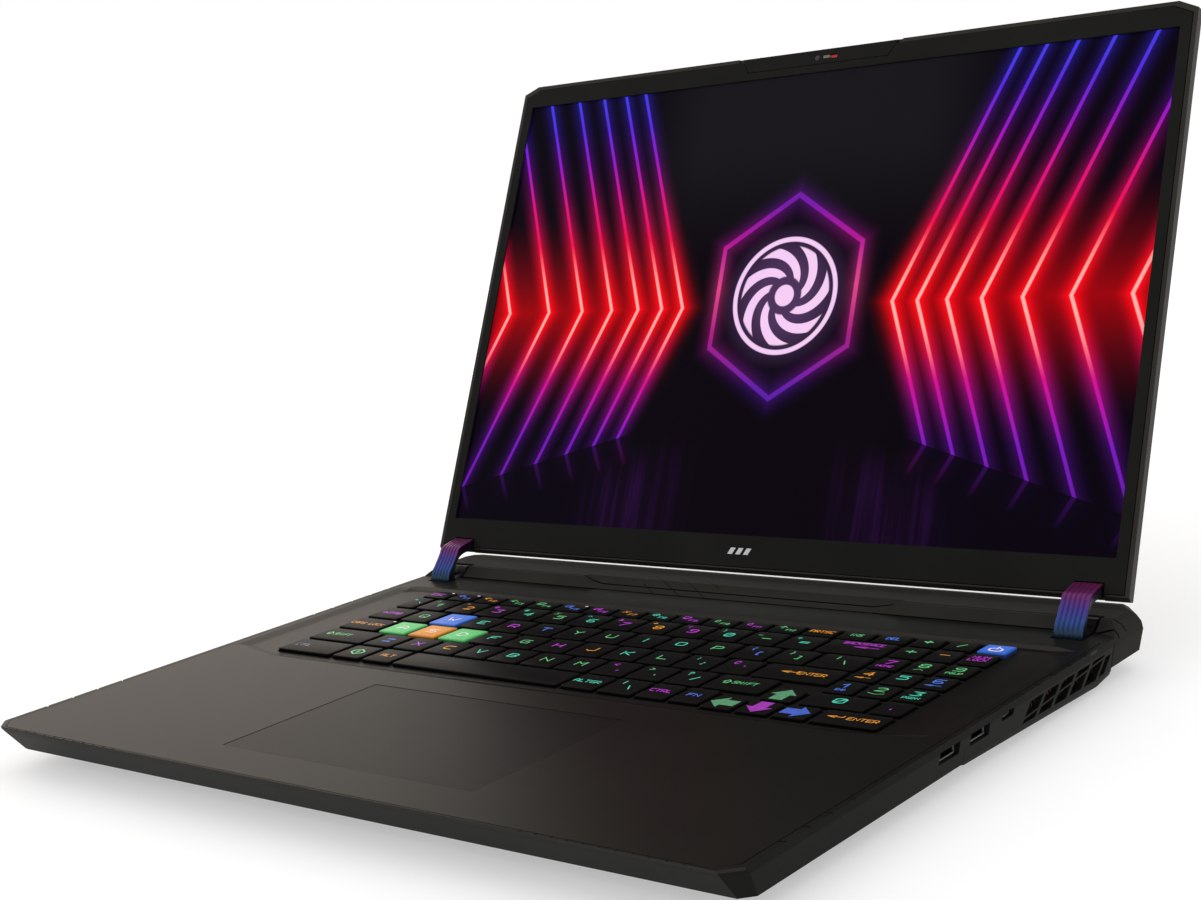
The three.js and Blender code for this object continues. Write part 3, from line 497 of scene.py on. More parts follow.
def sign_on(look, picture, x, t):
    """Adds a tall neon hexagon with a turbine wheel inside it."""
    up = look.math("SUBTRACT", t, SIGN_T)
    across = look.math("ABSOLUTE", x)
    squashed = look.math("DIVIDE", look.math("ABSOLUTE", up), 1.12)
    slant = look.math("ADD", look.times(across, 0.5), look.times(squashed, 0.866))
    hexagon = look.math("MAXIMUM", across, slant)
    rim = look.apart(hexagon, SIGN_HALF)
    rim_core = look.ease(rim, 1.5, 0.8)
    rim_halo = look.times(look.math("POWER", look.remap(rim, 12, 0), 3), 0.32)
    inside = look.ease(hexagon, SIGN_HALF + 1, SIGN_HALF - 1)
    colour = look.ramp(look.remap(up, -46, 46), [
        (0.0, (96, 30, 170)), (0.3, (170, 30, 130)), (0.55, (226, 70, 140)),
        (0.8, (178, 22, 150)), (1.0, (120, 26, 170)),
    ])
    picture = look.mix(inside, picture, linear(15, 5, 24))
    picture = look.mix(rim_halo, picture, colour, "ADD")
    picture = look.mix(rim_core, picture, colour)

    # The wheel: seven swept blades between a hub and a ring, in pearl with a soft glow behind.
    radius = look.math("SQRT", look.math("ADD", look.times(x, x), look.times(up, up)))
    sweep = look.math("MULTIPLY_ADD", radius, -0.075, look.math("ARCTAN2", up, x))
    blade = look.ease(look.math("SINE", look.times(sweep, 7)), -0.05, 0.18)
    outside_hub = look.ease(radius, 9, 10)
    inside_ring = look.ease(radius, 25, 24)
    ring = look.ease(look.apart(radius, 28), 1.5, 0.9)
    hub = look.ease(radius, 5.6, 5)
    wheel = look.chain("MAXIMUM", look.times(blade, outside_hub, inside_ring), ring, hub)
    halo = look.times(look.remap(radius, 36, 14), 0.12)
    picture = look.mix(halo, picture, linear(200, 140, 230), "ADD")
    pearl = look.mix(look.noise(16), linear(255, 214, 236), linear(236, 196, 255))
    return look.mix(wheel, picture, pearl)


HINGE = hinge_look()
SOCKET = socket_look()


# ---------------- pieces made here

def ring_faces(size, first, second):
    """The faces between two rings of size points, which start at the points first and second."""
    return [(first + i, first + (i + 1) % size, second + (i + 1) % size, second + i)
            for i in range(size)]


class Shape:
    """Collects the faces of one piece. place, which is deck or lid_point, turns its points into the
    frame's metres. look is the number of a face's material in the piece's list."""

    def __init__(self, place=deck):
        self.place = place
        self.verts, self.faces, self.looks = [], [], []

    def add(self, points, faces, look=0):
        start = len(self.verts)
        self.verts += [self.place(*p) for p in points]
        self.faces += [tuple(start + i for i in face) for face in faces]
        self.looks += [look] * len(faces)

    def loft(self, rings, look=0, caps=(True, True)):
        """Joins rings of equal length, and closes the first and the last where caps says so."""
        size = len(rings[0])
        last = (len(rings) - 1) * size
        faces = []
        for start in range(0, last, size):
            faces += ring_faces(size, start, start + size)
        if caps[0]:
            faces.append(tuple(reversed(range(size))))
        if caps[1]:
            faces.append(tuple(range(last, last + size)))
        self.add([p for ring in rings for p in ring], faces, look)

    def band(self, rings):
        """Joins rings one after another and the last one back to the first, as a closed frame."""
        size, count = len(rings[0]), len(rings)
        faces = []
        for level in range(count):
            faces += ring_faces(size, level * size, (level + 1) % count * size)
        self.add([p for ring in rings for p in ring], faces)

    def piece(self, name, body, slot, materials, smooth=40):
        """Makes the object, whose edges are sharp where they bend more than smooth degrees."""
        mesh = bpy.data.meshes.new(name)
        mesh.from_pydata(self.verts, [], self.faces)
        for material in materials:
            mesh.materials.append(material)
        mesh.polygons.foreach_set("material_index", self.looks)
        mesh.validate()
        mesh.shade_smooth()
        mesh.set_sharp_from_angle(angle=math.radians(smooth))
        obj = bpy.data.objects.new(name, mesh)
        link(obj)
        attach(obj, body)
        return obj


def rounded_rect(x0, x1, y0, y1, radius):
    """A rectangle's outline with three steps round each corner."""
    points = []
    for cx, cy, start in ((x1 - radius, y1 - radius, 0), (x0 + radius, y1 - radius, 90),
                          (x0 + radius, y0 + radius, 180), (x1 - radius, y0 + radius, 270)):
        for i in range(4):
            a = math.radians(start + 30 * i)
            points.append((cx + radius * math.cos(a), cy + radius * math.sin(a)))
    return points


def at_height(outline, z):
    return [(x, y, z) for x, y in outline]


def middle(rect):
    return (rect[0] + rect[1]) / 2, (rect[2] + rect[3]) / 2


def key_tops(node):
    """The flat tops of a CAD node's keys as (x0, x1, y0, y1) in millimetres, row by row.

    Faces at the top's height that share a corner belong to the same key.
    """
    mesh = frame["nodes"][node].data
    top = max(v.co.z for v in mesh.vertices)
    groups = []
    for polygon in mesh.polygons:
        corners = [mesh.vertices[i].co for i in polygon.vertices]
        if min(c.z for c in corners) < top - 1e-5:
            continue
        spots = {(round(c.x / MM, 2), round((c.y - DECK_FRONT) / MM, 2)) for c in corners}
        joined = [g for g in groups if g & spots]
        for g in joined:
            groups.remove(g)
            spots |= g
        groups.append(spots)
    tops = []
    for group in groups:
        xs, ys = [p[0] for p in group], [p[1] for p in group]
        tops.append((min(xs), max(xs), min(ys), max(ys)))
    return sorted(tops, key=lambda r: (-round(r[3]), r[0]))


KEY_TOP = (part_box("space_bar")[1].z - DECK_TOP) / MM
KEY_BOTTOM = (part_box("space_bar")[0].z - DECK_TOP) / MM

# Legends stand this far above a cap's top, and start this far below it.
LEGEND_RISE = 0.03
LEGEND_ROOT = 0.02

# Cap profile from the skirt to the top: how far out from the CAD's top edge, height, corner radius.
CAP_PROFILE = ((0.5, KEY_BOTTOM, 1.3), (0.42, -1.0, 1.3), (0.34, -0.22, 1.25), (0.22, 0.02, 1.2),
               (0.0, 0.15, 1.05), (-0.3, KEY_TOP, 0.9))


def add_cap(shape, rect):
    """A cap with a skirt darkened by painted shade and a rounded top, over a CAD key's flat top."""
    x0, x1, y0, y1 = rect
    rings = []
    for grow, z, radius in CAP_PROFILE:
        outline = rounded_rect(x0 - grow, x1 + grow, y0 - grow, y1 + grow, radius)
        rings.append(at_height(outline, z))
    shape.loft(rings[:3], 1, caps=(True, False))
    shape.loft(rings[2:], 0, caps=(False, True))


# Angular letters on a grid 4 wide and 6 high: strokes split by |, each point an x and a y digit.
GLYPHS = {
    "A": "00 04 16 36 44 40|02 42", "B": "00 06 36 45 44 33 03|33 42 41 30 00",
    "C": "46 16 05 01 10 40", "D": "00 06 26 44 42 20 00", "E": "46 06 00 40|03 33",
    "F": "46 06 00|03 33", "G": "46 16 05 01 10 40 43 23", "H": "00 06|40 46|03 43", "I": "20 26",
    "J": "46 41 30 10 01", "K": "00 06|46 13 40", "L": "06 00 40", "M": "00 06 23 46 40",
    "N": "00 06 40 46", "O": "10 01 05 16 36 45 41 30 10", "P": "00 06 36 45 43 32 02",
    "Q": "10 01 05 16 36 45 41 30 10|22 40", "R": "00 06 36 45 43 32 02|22 40",
    "S": "46 16 05 04 13 33 42 41 30 00", "T": "06 46|26 20", "U": "06 01 10 30 41 46", "V": "06 20 46",
    "W": "06 10 23 30 46", "X": "00 46|06 40", "Y": "06 23 46|23 20", "Z": "06 46 00 40",
    "0": "10 01 05 16 36 45 41 30 10|11 35", "1": "04 26 20", "2": "05 16 36 45 44 00 40",
    "3": "06 46 23 33 42 41 30 00", "4": "30 36 02 42", "5": "46 06 04 34 43 41 30 00",
    "6": "46 16 05 01 10 30 41 42 33 03", "7": "06 46 10",
    "8": "13 04 05 16 36 45 44 33 13 02 01 10 30 41 42 33", "9": "43 13 04 05 16 36 45 41 30 00",
    "!": "26 22|20 21", '"': "14 16|34 36", "#": "10 16|30 36|02 42|04 44",
    "$": "45 05 03 43 41 01|26 20", "%": "00 46|06 15|31 40", "^": "04 26 44",
    "&": "40 05 16 25 01 10 42", "*": "21 25|03 43|12 34", "(": "36 25 21 30", ")": "16 25 21 10",
    "-": "03 43", "_": "00 40", "=": "02 42|04 44", "+": "03 43|21 25", "[": "36 16 10 30",
    "]": "16 36 30 10", "{": "36 26 24 13 22 20 30", "}": "16 26 24 33 22 20 10", ";": "23 24|21 10",
    ":": "23 24|21 20", "'": "25 26", "~": "03 14 32 43",
    "\\": "06 40", "|": "20 26", ",": "21 10", ".": "20 21", "<": "45 03 41", ">": "05 43 01",
    "/": "00 46", "?": "05 16 36 45 23 22|20 21", "`": "16 34", " ": "",
}

LETTER_STEP, LETTER_GAP = 5.5, 1.5

# Small signs, drawn the same way.
ICONS = {
    "shift": "10 13 03 26 43 33 30 10", "back": "03 43|25 03 21", "enter": "46 43 03|25 03 21",
    "tab": "03 33|15 33 11|40 46", "lamp": "20 10 14 26 34 30 20",
    "sound": "02 04 14 26 20 12 02|42 44", "mute": "02 04 14 26 20 12 02|32 44|34 42",
    "pad": "00 06 46 40 00|02 42|22 20", "fan": "23 15|23 45|23 31|23 01",
    "lens": "01 05 35 31 01|35 46 40 31",
    "screen": "01 06 46 41 01|10 30", "up": "01 25 41", "down": "05 21 45", "plane": "03 26 43|26 20",
    "rotate": "41 30 10 01 05 16 36 45|34 45 35", "hexagon": "02 04 26 44 42 20 02|22 24",
    "power": "14 03 01 10 30 41 43 34|26 23",
}


def strokes(text):
    """Polylines of a word or @icon and their overall width, on the letter grid."""
    letters = [ICONS[text[1:]]] if text.startswith("@") else [GLYPHS[letter] for letter in text]
    marks = []
    for i, letter in enumerate(letters):
        for stroke in filter(None, letter.split("|")):
            marks.append([(int(p[0]) + i * LETTER_STEP, int(p[1])) for p in stroke.split()])
    return marks, LETTER_STEP * len(letters) - LETTER_GAP


def ribbon(points, width):
    """The two edges of a stroke along points, mitred at its bends."""
    closed = points[0] == points[-1] and len(points) > 2
    spine = [Vector(p) for p in (points[:-1] if closed else points)]
    left, right = [], []
    count = len(spine)
    for i, p in enumerate(spine):
        before = spine[i - 1] if i or closed else None
        after = spine[(i + 1) % count] if i < count - 1 or closed else None
        first = (p - before).normalized() if before is not None else (after - p).normalized()
        last = (after - p).normalized() if after is not None else first
        bend = first + last
        tangent = bend.normalized() if bend.length > 0.3 else first
        stretch = min(1 / max(tangent.dot(first), 0.45), 2.0)
        offset = Vector((-tangent.y, tangent.x)) * width / 2 * stretch
        end = Vector((0, 0))
        if before is None:
            end = -first * width / 2
        if after is None:
            end = first * width / 2
        left.append(p + offset + end)
        right.append(p - offset + end)
    if closed:
        left.append(left[0])
        right.append(right[0])
    return left, right


def add_mark(shape, text, x, y, width, height, look):
    """Draws a word or icon, centred at x, y, as thin raised strokes on the key top."""
    marks, span = strokes(text)
    scale_x, scale_y = width / span, height / 6
    pen = min(height, 6) / 8
    if not text.startswith("@") and len(text) > 1:
        pen = min(pen, scale_x * 1.15)
    walls = [(i, i + 4, (i + 1) % 4 + 4, (i + 1) % 4) for i in range(4)]
    for mark in marks:
        line = [(x + (px - span / 2) * scale_x, y + (py - 3) * scale_y) for px, py in mark]
        left, right = ribbon(line, pen)
        for i in range(len(left) - 1):
            quad = [left[i], right[i], right[i + 1], left[i + 1]]
            top = at_height(quad, KEY_TOP + LEGEND_RISE)
            shape.add(top + at_height(quad, KEY_TOP - LEGEND_ROOT), [(0, 1, 2, 3), *walls], look)


# These return keys' legends: lists of (text, dx, dy, width, height, colour).
def letters(text, *looks):
    """One letter for each key."""
    return [[(letter, 0, 0.3, 4.4, 4.1, look)] for letter, look in zip(text, looks)]


def digits(text, signs, *looks):
    """One digit for each key, with its sign in the corner."""
    return [[(digit, 1.0, -0.3, 4.0, 4.3, look), (sign, -4.4, 4.8, 2.0, 2.5, look)]
            for digit, sign, look in zip(text, signs, looks)]


def paired(text, sign, look):
    return [(text, 2.4, -0.8, 2.1, 3.9, look), (sign, -3.2, 4.2, 1.9, 3.1, look)]


def action(text, icon, look):
    return [(text, 2.6, -1.7, 4.2, 2.1, look), (icon, -2.9, 1.3, 3.4, 3.0, look)]


def word(text, look, dx=0.0, width=8.0, dy=0.3, height=2.7):
    return [(text, dx, dy, width, height, look)]


def pad_digit(text, name, look):
    width = 7.0 if len(name) > 3 else 4.0
    return [(text, 0, 1.6, 4.0, 4.1, look), (name, 0, -3.4, width, 1.9, look)]


# Each node's legends, in the order of its keys.
LEGENDS = {
    "escape_key": [word("ESC", MAGENTA, -1.0, 7.5, 0)],
    "function_keys": [
        action("F1", "@mute", BLUE), action("F2", "@sound", ORANGE), action("F3", "@sound", GREEN),
        action("F4", "@pad", GREEN), action("F5", "@lens", BLUE), action("F6", "@lens", MAGENTA),
        action("F7", "@fan", ORANGE), action("F8", "@hexagon", TEAL), action("F9", "@screen", MAGENTA),
        action("F10", "@lamp", GREEN), action("F11", "@lamp", MAGENTA), action("F12", "@plane", GREEN),
        word("PRTSC", ORANGE, 0, 11.5, 0.4), word("INS", GREEN, -0.5, 6), word("DEL", BLUE, 0, 6),
    ],
    "number_keys": [
        paired("`", "~", TEAL),
        *digits("1234567890-=", '!"#$%^&*()_+', GREEN, ORANGE, MAGENTA, TEAL, GREEN, TEAL, MAGENTA,
                ORANGE, MAGENTA, TEAL, GREEN, TEAL),
    ],
    "backspace_key": [
        [("BACKSPACE", 0.6, 5.2, 18.5, 2.6, MAGENTA), ("@back", 4.0, 0.8, 11.5, 2.6, MAGENTA)],
    ],
    "upper_letter_keys": [
        [("@tab", -5.2, 0, 3.4, 3, MAGENTA), ("TAB", 1.4, 0, 7.6, 2.8, MAGENTA)],
        *letters("QERTYUIOP", GREEN, TEAL, MAGENTA, BLUE, GREEN, GREEN, TEAL, TEAL, GREEN),
        paired("[", "{", BLUE), paired("]", "}", GREEN), paired("\\", "|", GREEN),
    ],
    "home_row_keys": [
        word("CAPS LOCK", ORANGE, -1.0, 20.5, 0.2, 2.5),
        *letters("FGHJKL", TEAL, GREEN, MAGENTA, ORANGE, TEAL, GREEN),
        paired(";", ":", TEAL), paired("'", "@rotate", MAGENTA),
    ],
    "enter_key": [[("@enter", -4.5, 0.4, 7.0, 3.2, ORANGE), ("ENTER", 6.0, 0.2, 12.6, 2.9, ORANGE)]],
    "left_shift_key": [
        [("@shift", -11.2, 0.6, 3.4, 3.6, GREEN), ("SHIFT", -3.0, 0.6, 10.5, 2.7, GREEN)],
    ],
    "lower_letter_keys": [
        *letters("ZXCVBNM", BLUE, MAGENTA, ORANGE, TEAL, TEAL, GREEN, GREEN),
        paired(",", "<", MAGENTA), paired(".", ">", GREEN), paired("/", "?", TEAL),
        [("@shift", -6.6, 0.4, 3.4, 3.6, GREEN), ("SHIFT", 1.8, 0.4, 11, 2.7, GREEN)],
    ],
    "modifier_keys": [
        word("CTRL", VIOLET, -8.4, 9.4), [("@hexagon", 0, 0, 6.4, 6.4, GREEN)],
        word("ALT", ORANGE, 0, 7.4), word("ALTGR", TEAL, -0.6, 13), paired("\\", "|", TEAL),
        word("CTRL", MAGENTA, 0, 10), word("FN", BLUE, -0.4, 5.4),
    ],
    "space_bar": [[]],
    "w_key": [[("W", 0, 0.3, 5.2, 4.2, WHITE)]],
    "a_key": [[("A", 0, 0.3, 5.0, 4.2, WHITE)]],
    "s_key": [[("S", 0, 0.3, 5.0, 4.2, WHITE)]],
    "d_key": [[("D", 0, 0.3, 5.0, 4.2, WHITE)]],
    "power_key": [[("@power", 0, 0, 5.4, 5.4, WHITE)]],
    "number_pad_enter_key": [
        [("@enter", -6.6, 0.2, 6.4, 2.9, ORANGE), ("ENTER", 5.0, 0.0, 12.6, 2.6, ORANGE)],
    ],
    "number_pad_keys": [
        word("*", GREEN, 0, 3.6, 0.4, 4.2), word("/", GREEN, 0, 2.6, 0, 3.6),
        word("+", GREEN, 0, 4.2, 1, 4.4), word("-", ORANGE, 0, 4, 1, 3),
        [("NUM", 0, 2.6, 7, 2.4, MAGENTA), ("LOCK", 0, -0.8, 8, 2.4, MAGENTA)],
        pad_digit("7", "HOME", MAGENTA), pad_digit("8", "@up", GREEN), pad_digit("9", "PGUP", GREEN),
        pad_digit("4", "@back", ORANGE), pad_digit("5", " ", TEAL), pad_digit("6", "@back", BLUE),
        pad_digit("1", "END", BLUE), pad_digit("2", "@down", GREEN), pad_digit("3", "PGDN", TEAL),
        [("0", 0, 0.6, 4.6, 4.8, TEAL)], word(".", MAGENTA, 0, 2.4, 0, 4.0),
    ],
    "arrow_up_key": [[]], "arrow_left_key": [[]], "arrow_down_key": [[]], "arrow_right_key": [[]],
}

LIT_CAPS = {
    "w_key": (70, 124, 226), "a_key": (98, 204, 120), "s_key": (228, 148, 44), "d_key": (98, 204, 120),
    "power_key": (66, 116, 222),
}
ARROWS = {"arrow_up_key": (90, ARROW_GREEN), "arrow_left_key": (180, ARROW_GREEN),
          "arrow_down_key": (270, ARROW_MAGENTA), "arrow_right_key": (0, ARROW_BLUE)}

# A broad arrow pointing right, from its tip clockwise round the barbs and the stem, and its scale.
ARROW_OUTLINE = [(0.2, -5.9), (0.2, -3.0), (-6.0, -3.0), (-6.0, 3.0), (0.2, 3.0), (0.2, 5.9), (6.2, 0)]
ARROW_SCALE = 0.98

# Keys with a small white status light in their upper right corner, by their order in the bank.
STATUS_LIGHTS = {"escape_key": [0], "function_keys": [0, 4], "home_row_keys": [0]}


def add_raised(shape, outline, rise, look):
    """A flat mark that stands up from a key's top."""
    rings = [at_height(outline, KEY_TOP - LEGEND_ROOT), at_height(outline, KEY_TOP + rise)]
    shape.loft(rings, look, caps=(False, True))


def add_arrow(shape, rect, turn, look):
    cx, cy = middle(rect)
    cos, sin = math.cos(math.radians(turn)), math.sin(math.radians(turn))
    outline = []
    for a, b in ARROW_OUTLINE:
        outline.append((cx + (a * cos - b * sin) * ARROW_SCALE, cy + (a * sin + b * cos) * ARROW_SCALE))
    add_raised(shape, outline, LEGEND_RISE, look)


def add_status_light(shape, rect, look):
    x, y = rect[1] - 1.4, rect[3] - 1.2
    add_raised(shape, rounded_rect(x - 0.8, x + 0.8, y - 0.4, y + 0.4, 0.3), 0.05, look)


def number_of(material, materials):
    """The material's number in the list, which grows if the material is new."""
    if material not in materials:
        materials.append(material)
    return materials.index(material)


def make_keys():
    for node, legends in LEGENDS.items():
        lit = node in LIT_CAPS
        cap = lit_cap_look("lit_" + node, LIT_CAPS[node], node) if lit else CAP
        materials = [cap, cap if lit else CAP_SKIRT_SHADE]
        shape = Shape()
        tops = key_tops(node)
        assert len(tops) == len(legends), node
        for index, (rect, marks) in enumerate(zip(tops, legends)):
            add_cap(shape, rect)
            cx, cy = middle(rect)
            for text, dx, dy, width, height, colour in marks:
                look = number_of(colour, materials)
                add_mark(shape, text, cx + dx, cy + dy, width, height, look)
            if index in STATUS_LIGHTS.get(node, []):
                add_status_light(shape, rect, number_of(WHITE, materials))
        if node in ARROWS:
            turn, colour = ARROWS[node]
            add_arrow(shape, tops[0], turn, number_of(colour, materials))
        slot = "clear_keycaps" if lit else "keycaps"
        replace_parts(shape.piece(node + "_caps", node, slot, materials), node)


# ---------------- hinge covers

# The cover's front and top from the deck upwards, as (y, z), and the steps across each ridge.
COVER_FRONT = [(252.7, -0.9), (252.6, 1.2), (253.2, 3.2), (254.2, 5.0), (256.3, 7.2), (258.6, 9.8),
               (260.8, 12.5), (261.8, 14.2), (263.4, 15.4), (266.5, 16.1), (270.0, 16.7), (273.7, 17.3)]
COVER_ROWS = 34
RIDGE_PROFILE = (0, 0.9, 1, 1, 1, 0)


def resample(points, count):
    """Points at equal steps along a polyline."""
    lengths = [0.0]
    for a, b in zip(points, points[1:]):
        lengths.append(lengths[-1] + math.dist(a, b))
    result = []
    for i in range(count):
        target = lengths[-1] * i / (count - 1)
        k = next(k for k in range(1, len(points)) if lengths[k] >= target - 1e-9)
        share = (target - lengths[k - 1]) / (lengths[k] - lengths[k - 1])
        a, b = points[k - 1], points[k]
        result.append((a[0] + (b[0] - a[0]) * share, a[1] + (b[1] - a[1]) * share))
    return result


def cover_inside():
    """The cover's hollow, from the deck upwards: round the hinge arm, then along the lid."""
    inside = []
    for i in range(11, -1, -1):
        a = math.radians(80 + (189 - 80) * i / 11)
        inside.append((HINGE_Y + ARM_CLEARANCE * math.cos(a), HINGE_Z + ARM_CLEARANCE * math.sin(a)))
    return inside + [lid_yz(-12.1, 2.7), lid_yz(-12.1, -3.2)]


def ridge_column(outside, x, inward):
    """The cover's outside at one x, sunk inward between the ridges but not at its two ends."""
    column = []
    for j, (y, z) in enumerate(outside):
        before, after = outside[max(j - 1, 0)], outside[min(j + 1, COVER_ROWS - 1)]
        normal = Vector((after[1] - before[1], before[0] - after[0])).normalized()
        taper = min(1, max(0, (j - 1.5) / 2)) * min(1, max(0, (COVER_ROWS - 5 - j) / 2))
        column.append((x, y + normal.x * inward * taper, z + normal.y * inward * taper))
    return column


def make_hinge_cover(side, mirror):
    """Ridges run up the cover's front and over its top; the back is hollow for the hinge arm."""
    outside = resample(COVER_FRONT + [lid_yz(-11.4, -0.6), lid_yz(-11.4, -3.2)], COVER_ROWS)
    inside = resample(cover_inside(), COVER_ROWS)
    steps = RIDGES * len(RIDGE_PROFILE)
    points = []
    for i in range(steps + 1):
        x = HINGE_IN + (HINGE_OUT - HINGE_IN) * i / steps
        inward = RIDGE_HEIGHT * (1 - RIDGE_PROFILE[i % len(RIDGE_PROFILE)])
        points += ridge_column(outside, x * mirror, inward)
    for x in (HINGE_IN, HINGE_OUT):
        points += [(x * mirror, y, z) for y, z in inside]

    # The first points of the outside's last column and of the inside's two columns.
    last = steps * COVER_ROWS
    near, far = last + COVER_ROWS, last + 2 * COVER_ROWS
    faces = []
    for a in range(0, last, COVER_ROWS):
        b = a + COVER_ROWS
        faces += [(a + j, b + j, b + j + 1, a + j + 1) for j in range(COVER_ROWS - 1)]
    for j in range(COVER_ROWS - 1):
        faces.append((near + j, near + j + 1, far + j + 1, far + j))
        faces.append((j, j + 1, near + j + 1, near + j))
        faces.append((last + j + 1, last + j, far + j, far + j + 1))
    for j in (0, COVER_ROWS - 1):
        ring = [a + j for a in range(0, near, COVER_ROWS)] + [far + j, near + j]
        faces.append(tuple(ring if j == 0 else ring[::-1]))
    if mirror < 0:
        faces = [tuple(reversed(face)) for face in faces]
    shape = Shape()
    shape.add(points, faces)
    piece = shape.piece(f"ribbed_hinge_cover_{side}", "lid", "hinge_cover", [HINGE], smooth=30)
    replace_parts(piece, f"hinge_cover_{side}")


# ---------------- small trim

# Height of the webcam's middle up the lid.
WEBCAM_T = 236.3


def make_recess_rim():
    """The recess's lower edge, rounded over down to the keyboard frame."""
    def outline(grow, z):
        right = [(149 + grow / 2, 123.7 - grow), (181 + grow, 131 - grow), (181 + grow, 233 + grow),
                 (172 + grow, 236.9 + grow)]
        return [(x, y, z) for x, y in right] + [(-x, y, z) for x, y in reversed(right)]
    shape = Shape()
    shape.band([outline(0.05, -1.19), outline(-1.3, -1.19), outline(-0.6, -1.0), outline(0.05, -0.9)])
    shape.piece("keyboard_recess_rim", "base", "casing", [RECESS])


def box_rings(x0, x1, y0, y1, z0, z1):
    """A box's floor and roof, for a loft."""
    outline = [(x0, y0), (x1, y0), (x1, y1), (x0, y1)]
    return [at_height(outline, z0), at_height(outline, z1)]


def make_vent_fins(side, mirror):
    """Dull copper cooling fins behind the side wall's openings, on a black baffle of painted shade."""
    shape = Shape()
    baffle = sorted((180.2 * mirror, 181.0 * mirror))
    # The black baffle paints the shade inside the vents.
    shape.loft(box_rings(*baffle, 184, 256, -12.2, -3.6), 1)
    fin = sorted((181.0 * mirror, 184.4 * mirror))
    for i in range(31):
        y = 186 + i * 2.2
        shape.loft(box_rings(*fin, y, y + 0.35, -12.0, -4.0), 0)
    shape.piece(f"side_vent_fins_{side}", "base", "copper", [DULL_COPPER, SHADE_BLACK])


def disc_rings(x, y, radii_and_heights, sides=20):
    """Circles one above another, for a loft."""
    rings = []
    for radius, height in radii_and_heights:
        ring = []
        for i in range(sides):
            a = 2 * math.pi * i / sides
            ring.append((x + radius * math.cos(a), y + radius * math.sin(a), height))
        rings.append(ring)
    return rings


def make_screws():
    """Screw heads in the underside, each with a round socket."""
    shape = Shape()
    floor = (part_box("bottom_cover")[0].z - DECK_TOP) / MM
    spots = [(x * mirror, y) for mirror in (1, -1) for x in (60, 160) for y in (34, 128, 240)]
    spots += [(0, 34), (0, 128), (0, 240)]
    for x, y in spots:
        head = disc_rings(x, y, [(2.9, floor + 0.05), (2.9, floor - 0.35), (2.5, floor - 0.6),
                                 (1.5, floor - 0.6), (1.4, floor - 0.15)])
        shape.loft([ring[::-1] for ring in head])
    shape.piece("underside_screws", "base", "steel", [DARK_STEEL])


def make_webcam_details():
    """The lens, the red patch that the shutter shows, and the two microphones' holes in painted shade.
    """
    lens = Shape(lid_point)
    lens.loft(disc_rings(0, WEBCAM_T, [(1.4, -0.08), (1.4, 0.3), (1.05, 0.42), (0.5, 0.46)]))
    lens.piece("webcam_lens", "lid", "bezel", [LENS])
    patch = Shape(lid_point)
    patch.loft(box_rings(3.7, 11.2, WEBCAM_T - 0.8, WEBCAM_T + 0.8, -0.59, -0.42))
    patch.piece("shutter_red_patch", "lid", "shutter", [RED_PATCH])
    # Black discs paint the shade in the microphones' holes.
    holes = Shape(lid_point)
    for x in (-38.4, 38.4):
        holes.loft(disc_rings(x, WEBCAM_T, [(0.5, 0.4), (0.5, 0.48)], sides=10))
    holes.piece("microphone_hole_shade", "lid", "bezel", [SHADE_BLACK])


def make_bezel_mark():
    """Three slanted bars, in the middle of the lower bezel."""
    shape = Shape(lid_point)
    tall, wide = 3.0, 2.6
    slant = tall * 0.55
    low = -9.0
    for i in range(3):
        x = -6.3 + i * 4.4
        foot = [(x, low), (x + wide, low)]
        head = [(x + wide + slant, low + tall), (x + slant, low + tall)]
        shape.loft([at_height(foot + head, 0.38), at_height(foot + head, 0.45)])
    shape.piece("bezel_mark", "lid", "bezel", [MARK])


# ---------------- looks of the CAD nodes

SLOT_LOOKS = {
    "casing": CASING, "moulding": MOULDING, "lid_metal": LID_METAL, "bezel": BEZEL, "shutter": SHUTTER,
    "steel": STEEL, "copper": COPPER, "keyboard": RECESS, "keycaps": CAP, "clear_keycaps": CAP,
    "socket": PLATED, "rubber": RUBBER, "board": BOARD, "inner_plastic": INNER,
    "hinge_cover": HINGE, "screen": screen_look(),
}

# Nodes whose look isn't their slot's.
NODE_LOOKS = {
    "touchpad": PAD, "rear_cover": REAR, "hinge_arm_right": DARK_STEEL, "hinge_arm_left": DARK_STEEL,
    "hinge_bracket_right": DARK_STEEL, "hinge_bracket_left": DARK_STEEL,
    "usb_a_socket_front": SOCKET, "usb_a_socket_rear": SOCKET, "usb_c_socket": SOCKET,
}


def paint_cad_nodes():
    for part in frame["record"]["subparts"]:
        node = frame["nodes"][part["node"]]
        look = NODE_LOOKS.get(part["node"], SLOT_LOOKS[part["material_slot"]])
        node.data.materials.clear()
        node.data.materials.append(look)


# ---------------- camera, light and floor

CAMERA_PLACE = deck(514.886, -421.755, 214.466)
CAMERA_AZIMUTH = math.radians(40.782)
CAMERA_DIP = math.radians(7.841)
CAMERA_ROLL = math.radians(-6.268)
CAMERA_LENS = 57.54
CAMERA_SHIFT = (0.0180, -0.0375)


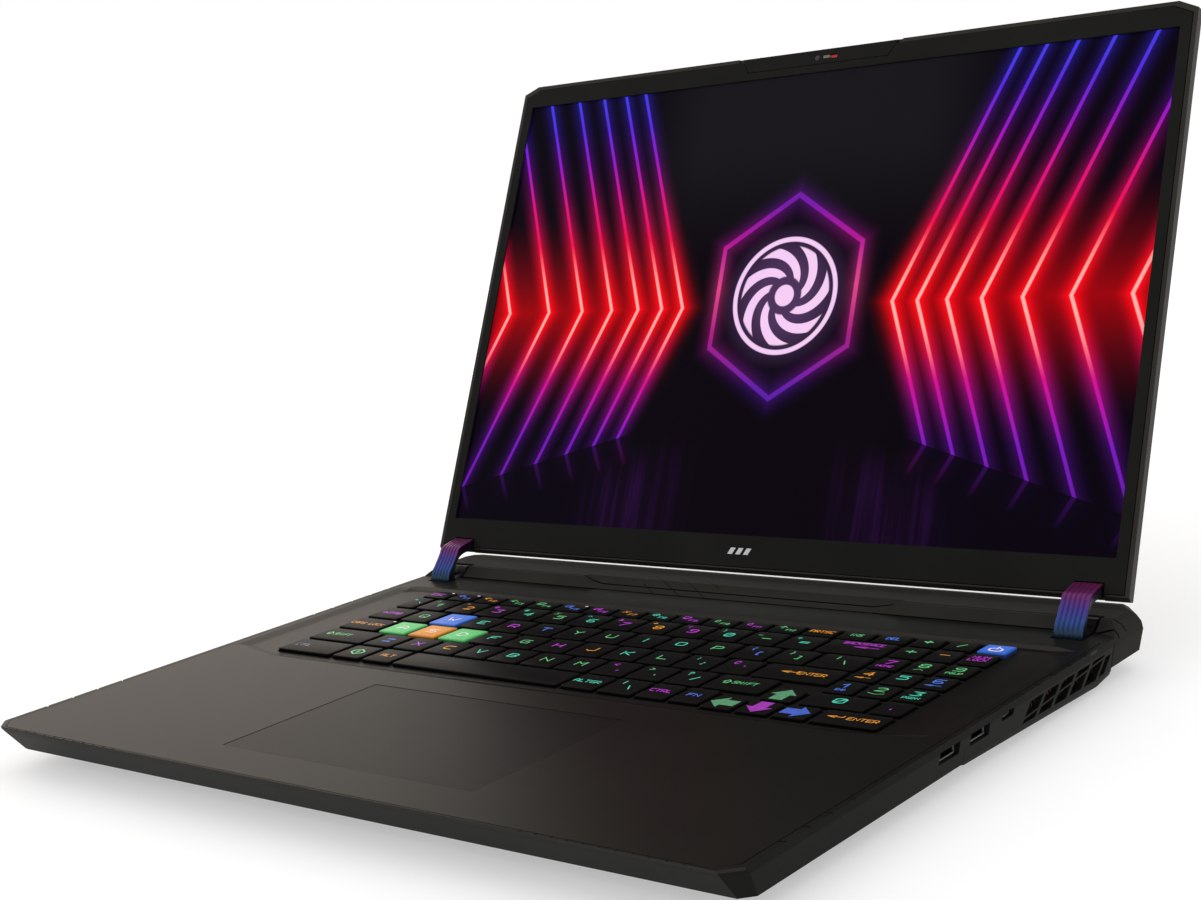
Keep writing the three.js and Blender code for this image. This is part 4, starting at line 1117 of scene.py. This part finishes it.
def make_camera():
    data = bpy.data.cameras.new("camera")
    data.lens = CAMERA_LENS
    data.shift_x, data.shift_y = CAMERA_SHIFT
    data.clip_start = 0.01
    across, ahead = math.sin(CAMERA_AZIMUTH), math.cos(CAMERA_AZIMUTH)
    flat, drop = math.cos(CAMERA_DIP), math.sin(CAMERA_DIP)
    forward = Vector((-across * flat, ahead * flat, -drop))
    level = Vector((ahead, across, 0))
    up = level.cross(forward)
    right = level * math.cos(CAMERA_ROLL) + up * math.sin(CAMERA_ROLL)
    top = up * math.cos(CAMERA_ROLL) - level * math.sin(CAMERA_ROLL)
    rotation = Matrix((right, top, -forward)).transposed().to_4x4()
    camera = bpy.data.objects.new("camera", data)
    camera.matrix_world = Matrix.Translation(CAMERA_PLACE) @ rotation
    link(camera)
    bpy.context.scene.camera = camera


def make_light(name, place, size, power, colour):
    """A soft rectangular light that points at the middle of the floor."""
    data = bpy.data.lights.new(name, "AREA")
    data.shape = "RECTANGLE"
    data.size, data.size_y = size
    data.energy = power
    data.color = colour
    light = bpy.data.objects.new(name, data)
    light.location = place
    light.rotation_euler = (-Vector(place)).to_track_quat("-Z", "Y").to_euler()
    link(light)


def make_world():
    world = bpy.data.worlds.new("studio")
    world.use_nodes = True
    background = world.node_tree.nodes["Background"]
    background.inputs["Color"].default_value = (1, 1, 1, 1)
    background.inputs["Strength"].default_value = 1
    bpy.context.scene.world = world
    bpy.context.scene.view_settings.view_transform = "Standard"


def make_floor(reach):
    """A plain pale sheet, reach metres to each side, which glows a little to stay white."""
    mesh = bpy.data.meshes.new("studio_floor")
    corners = [(-reach, -reach, 0), (reach, -reach, 0), (reach, reach, 0), (-reach, reach, 0)]
    mesh.from_pydata(corners, [], [(0, 1, 2, 3)])
    floor = bpy.data.objects.new("studio_floor", mesh)
    link(floor)
    look = Look("floor_paper")
    look.set(base_color=look.mix(look.noise(300), (0.6, 0.6, 0.6, 1), (0.64, 0.64, 0.64, 1)))
    look.set(roughness=0.9, specular=0.1, emission_color=(1, 1, 1, 1), emission_strength=0.42)
    mesh.materials.append(look.material)


make_camera()
make_world()
make_floor(6)
make_light("soft_key", (-2.1, 0.9, 0.8), (1.6, 1.0), 12, (1.0, 0.84, 0.7))
paint_cad_nodes()
make_keys()
make_hinge_cover("right", 1)
make_hinge_cover("left", -1)
make_recess_rim()
make_vent_fins("right", 1)
make_vent_fins("left", -1)
make_screws()
make_webcam_details()
make_bezel_mark()
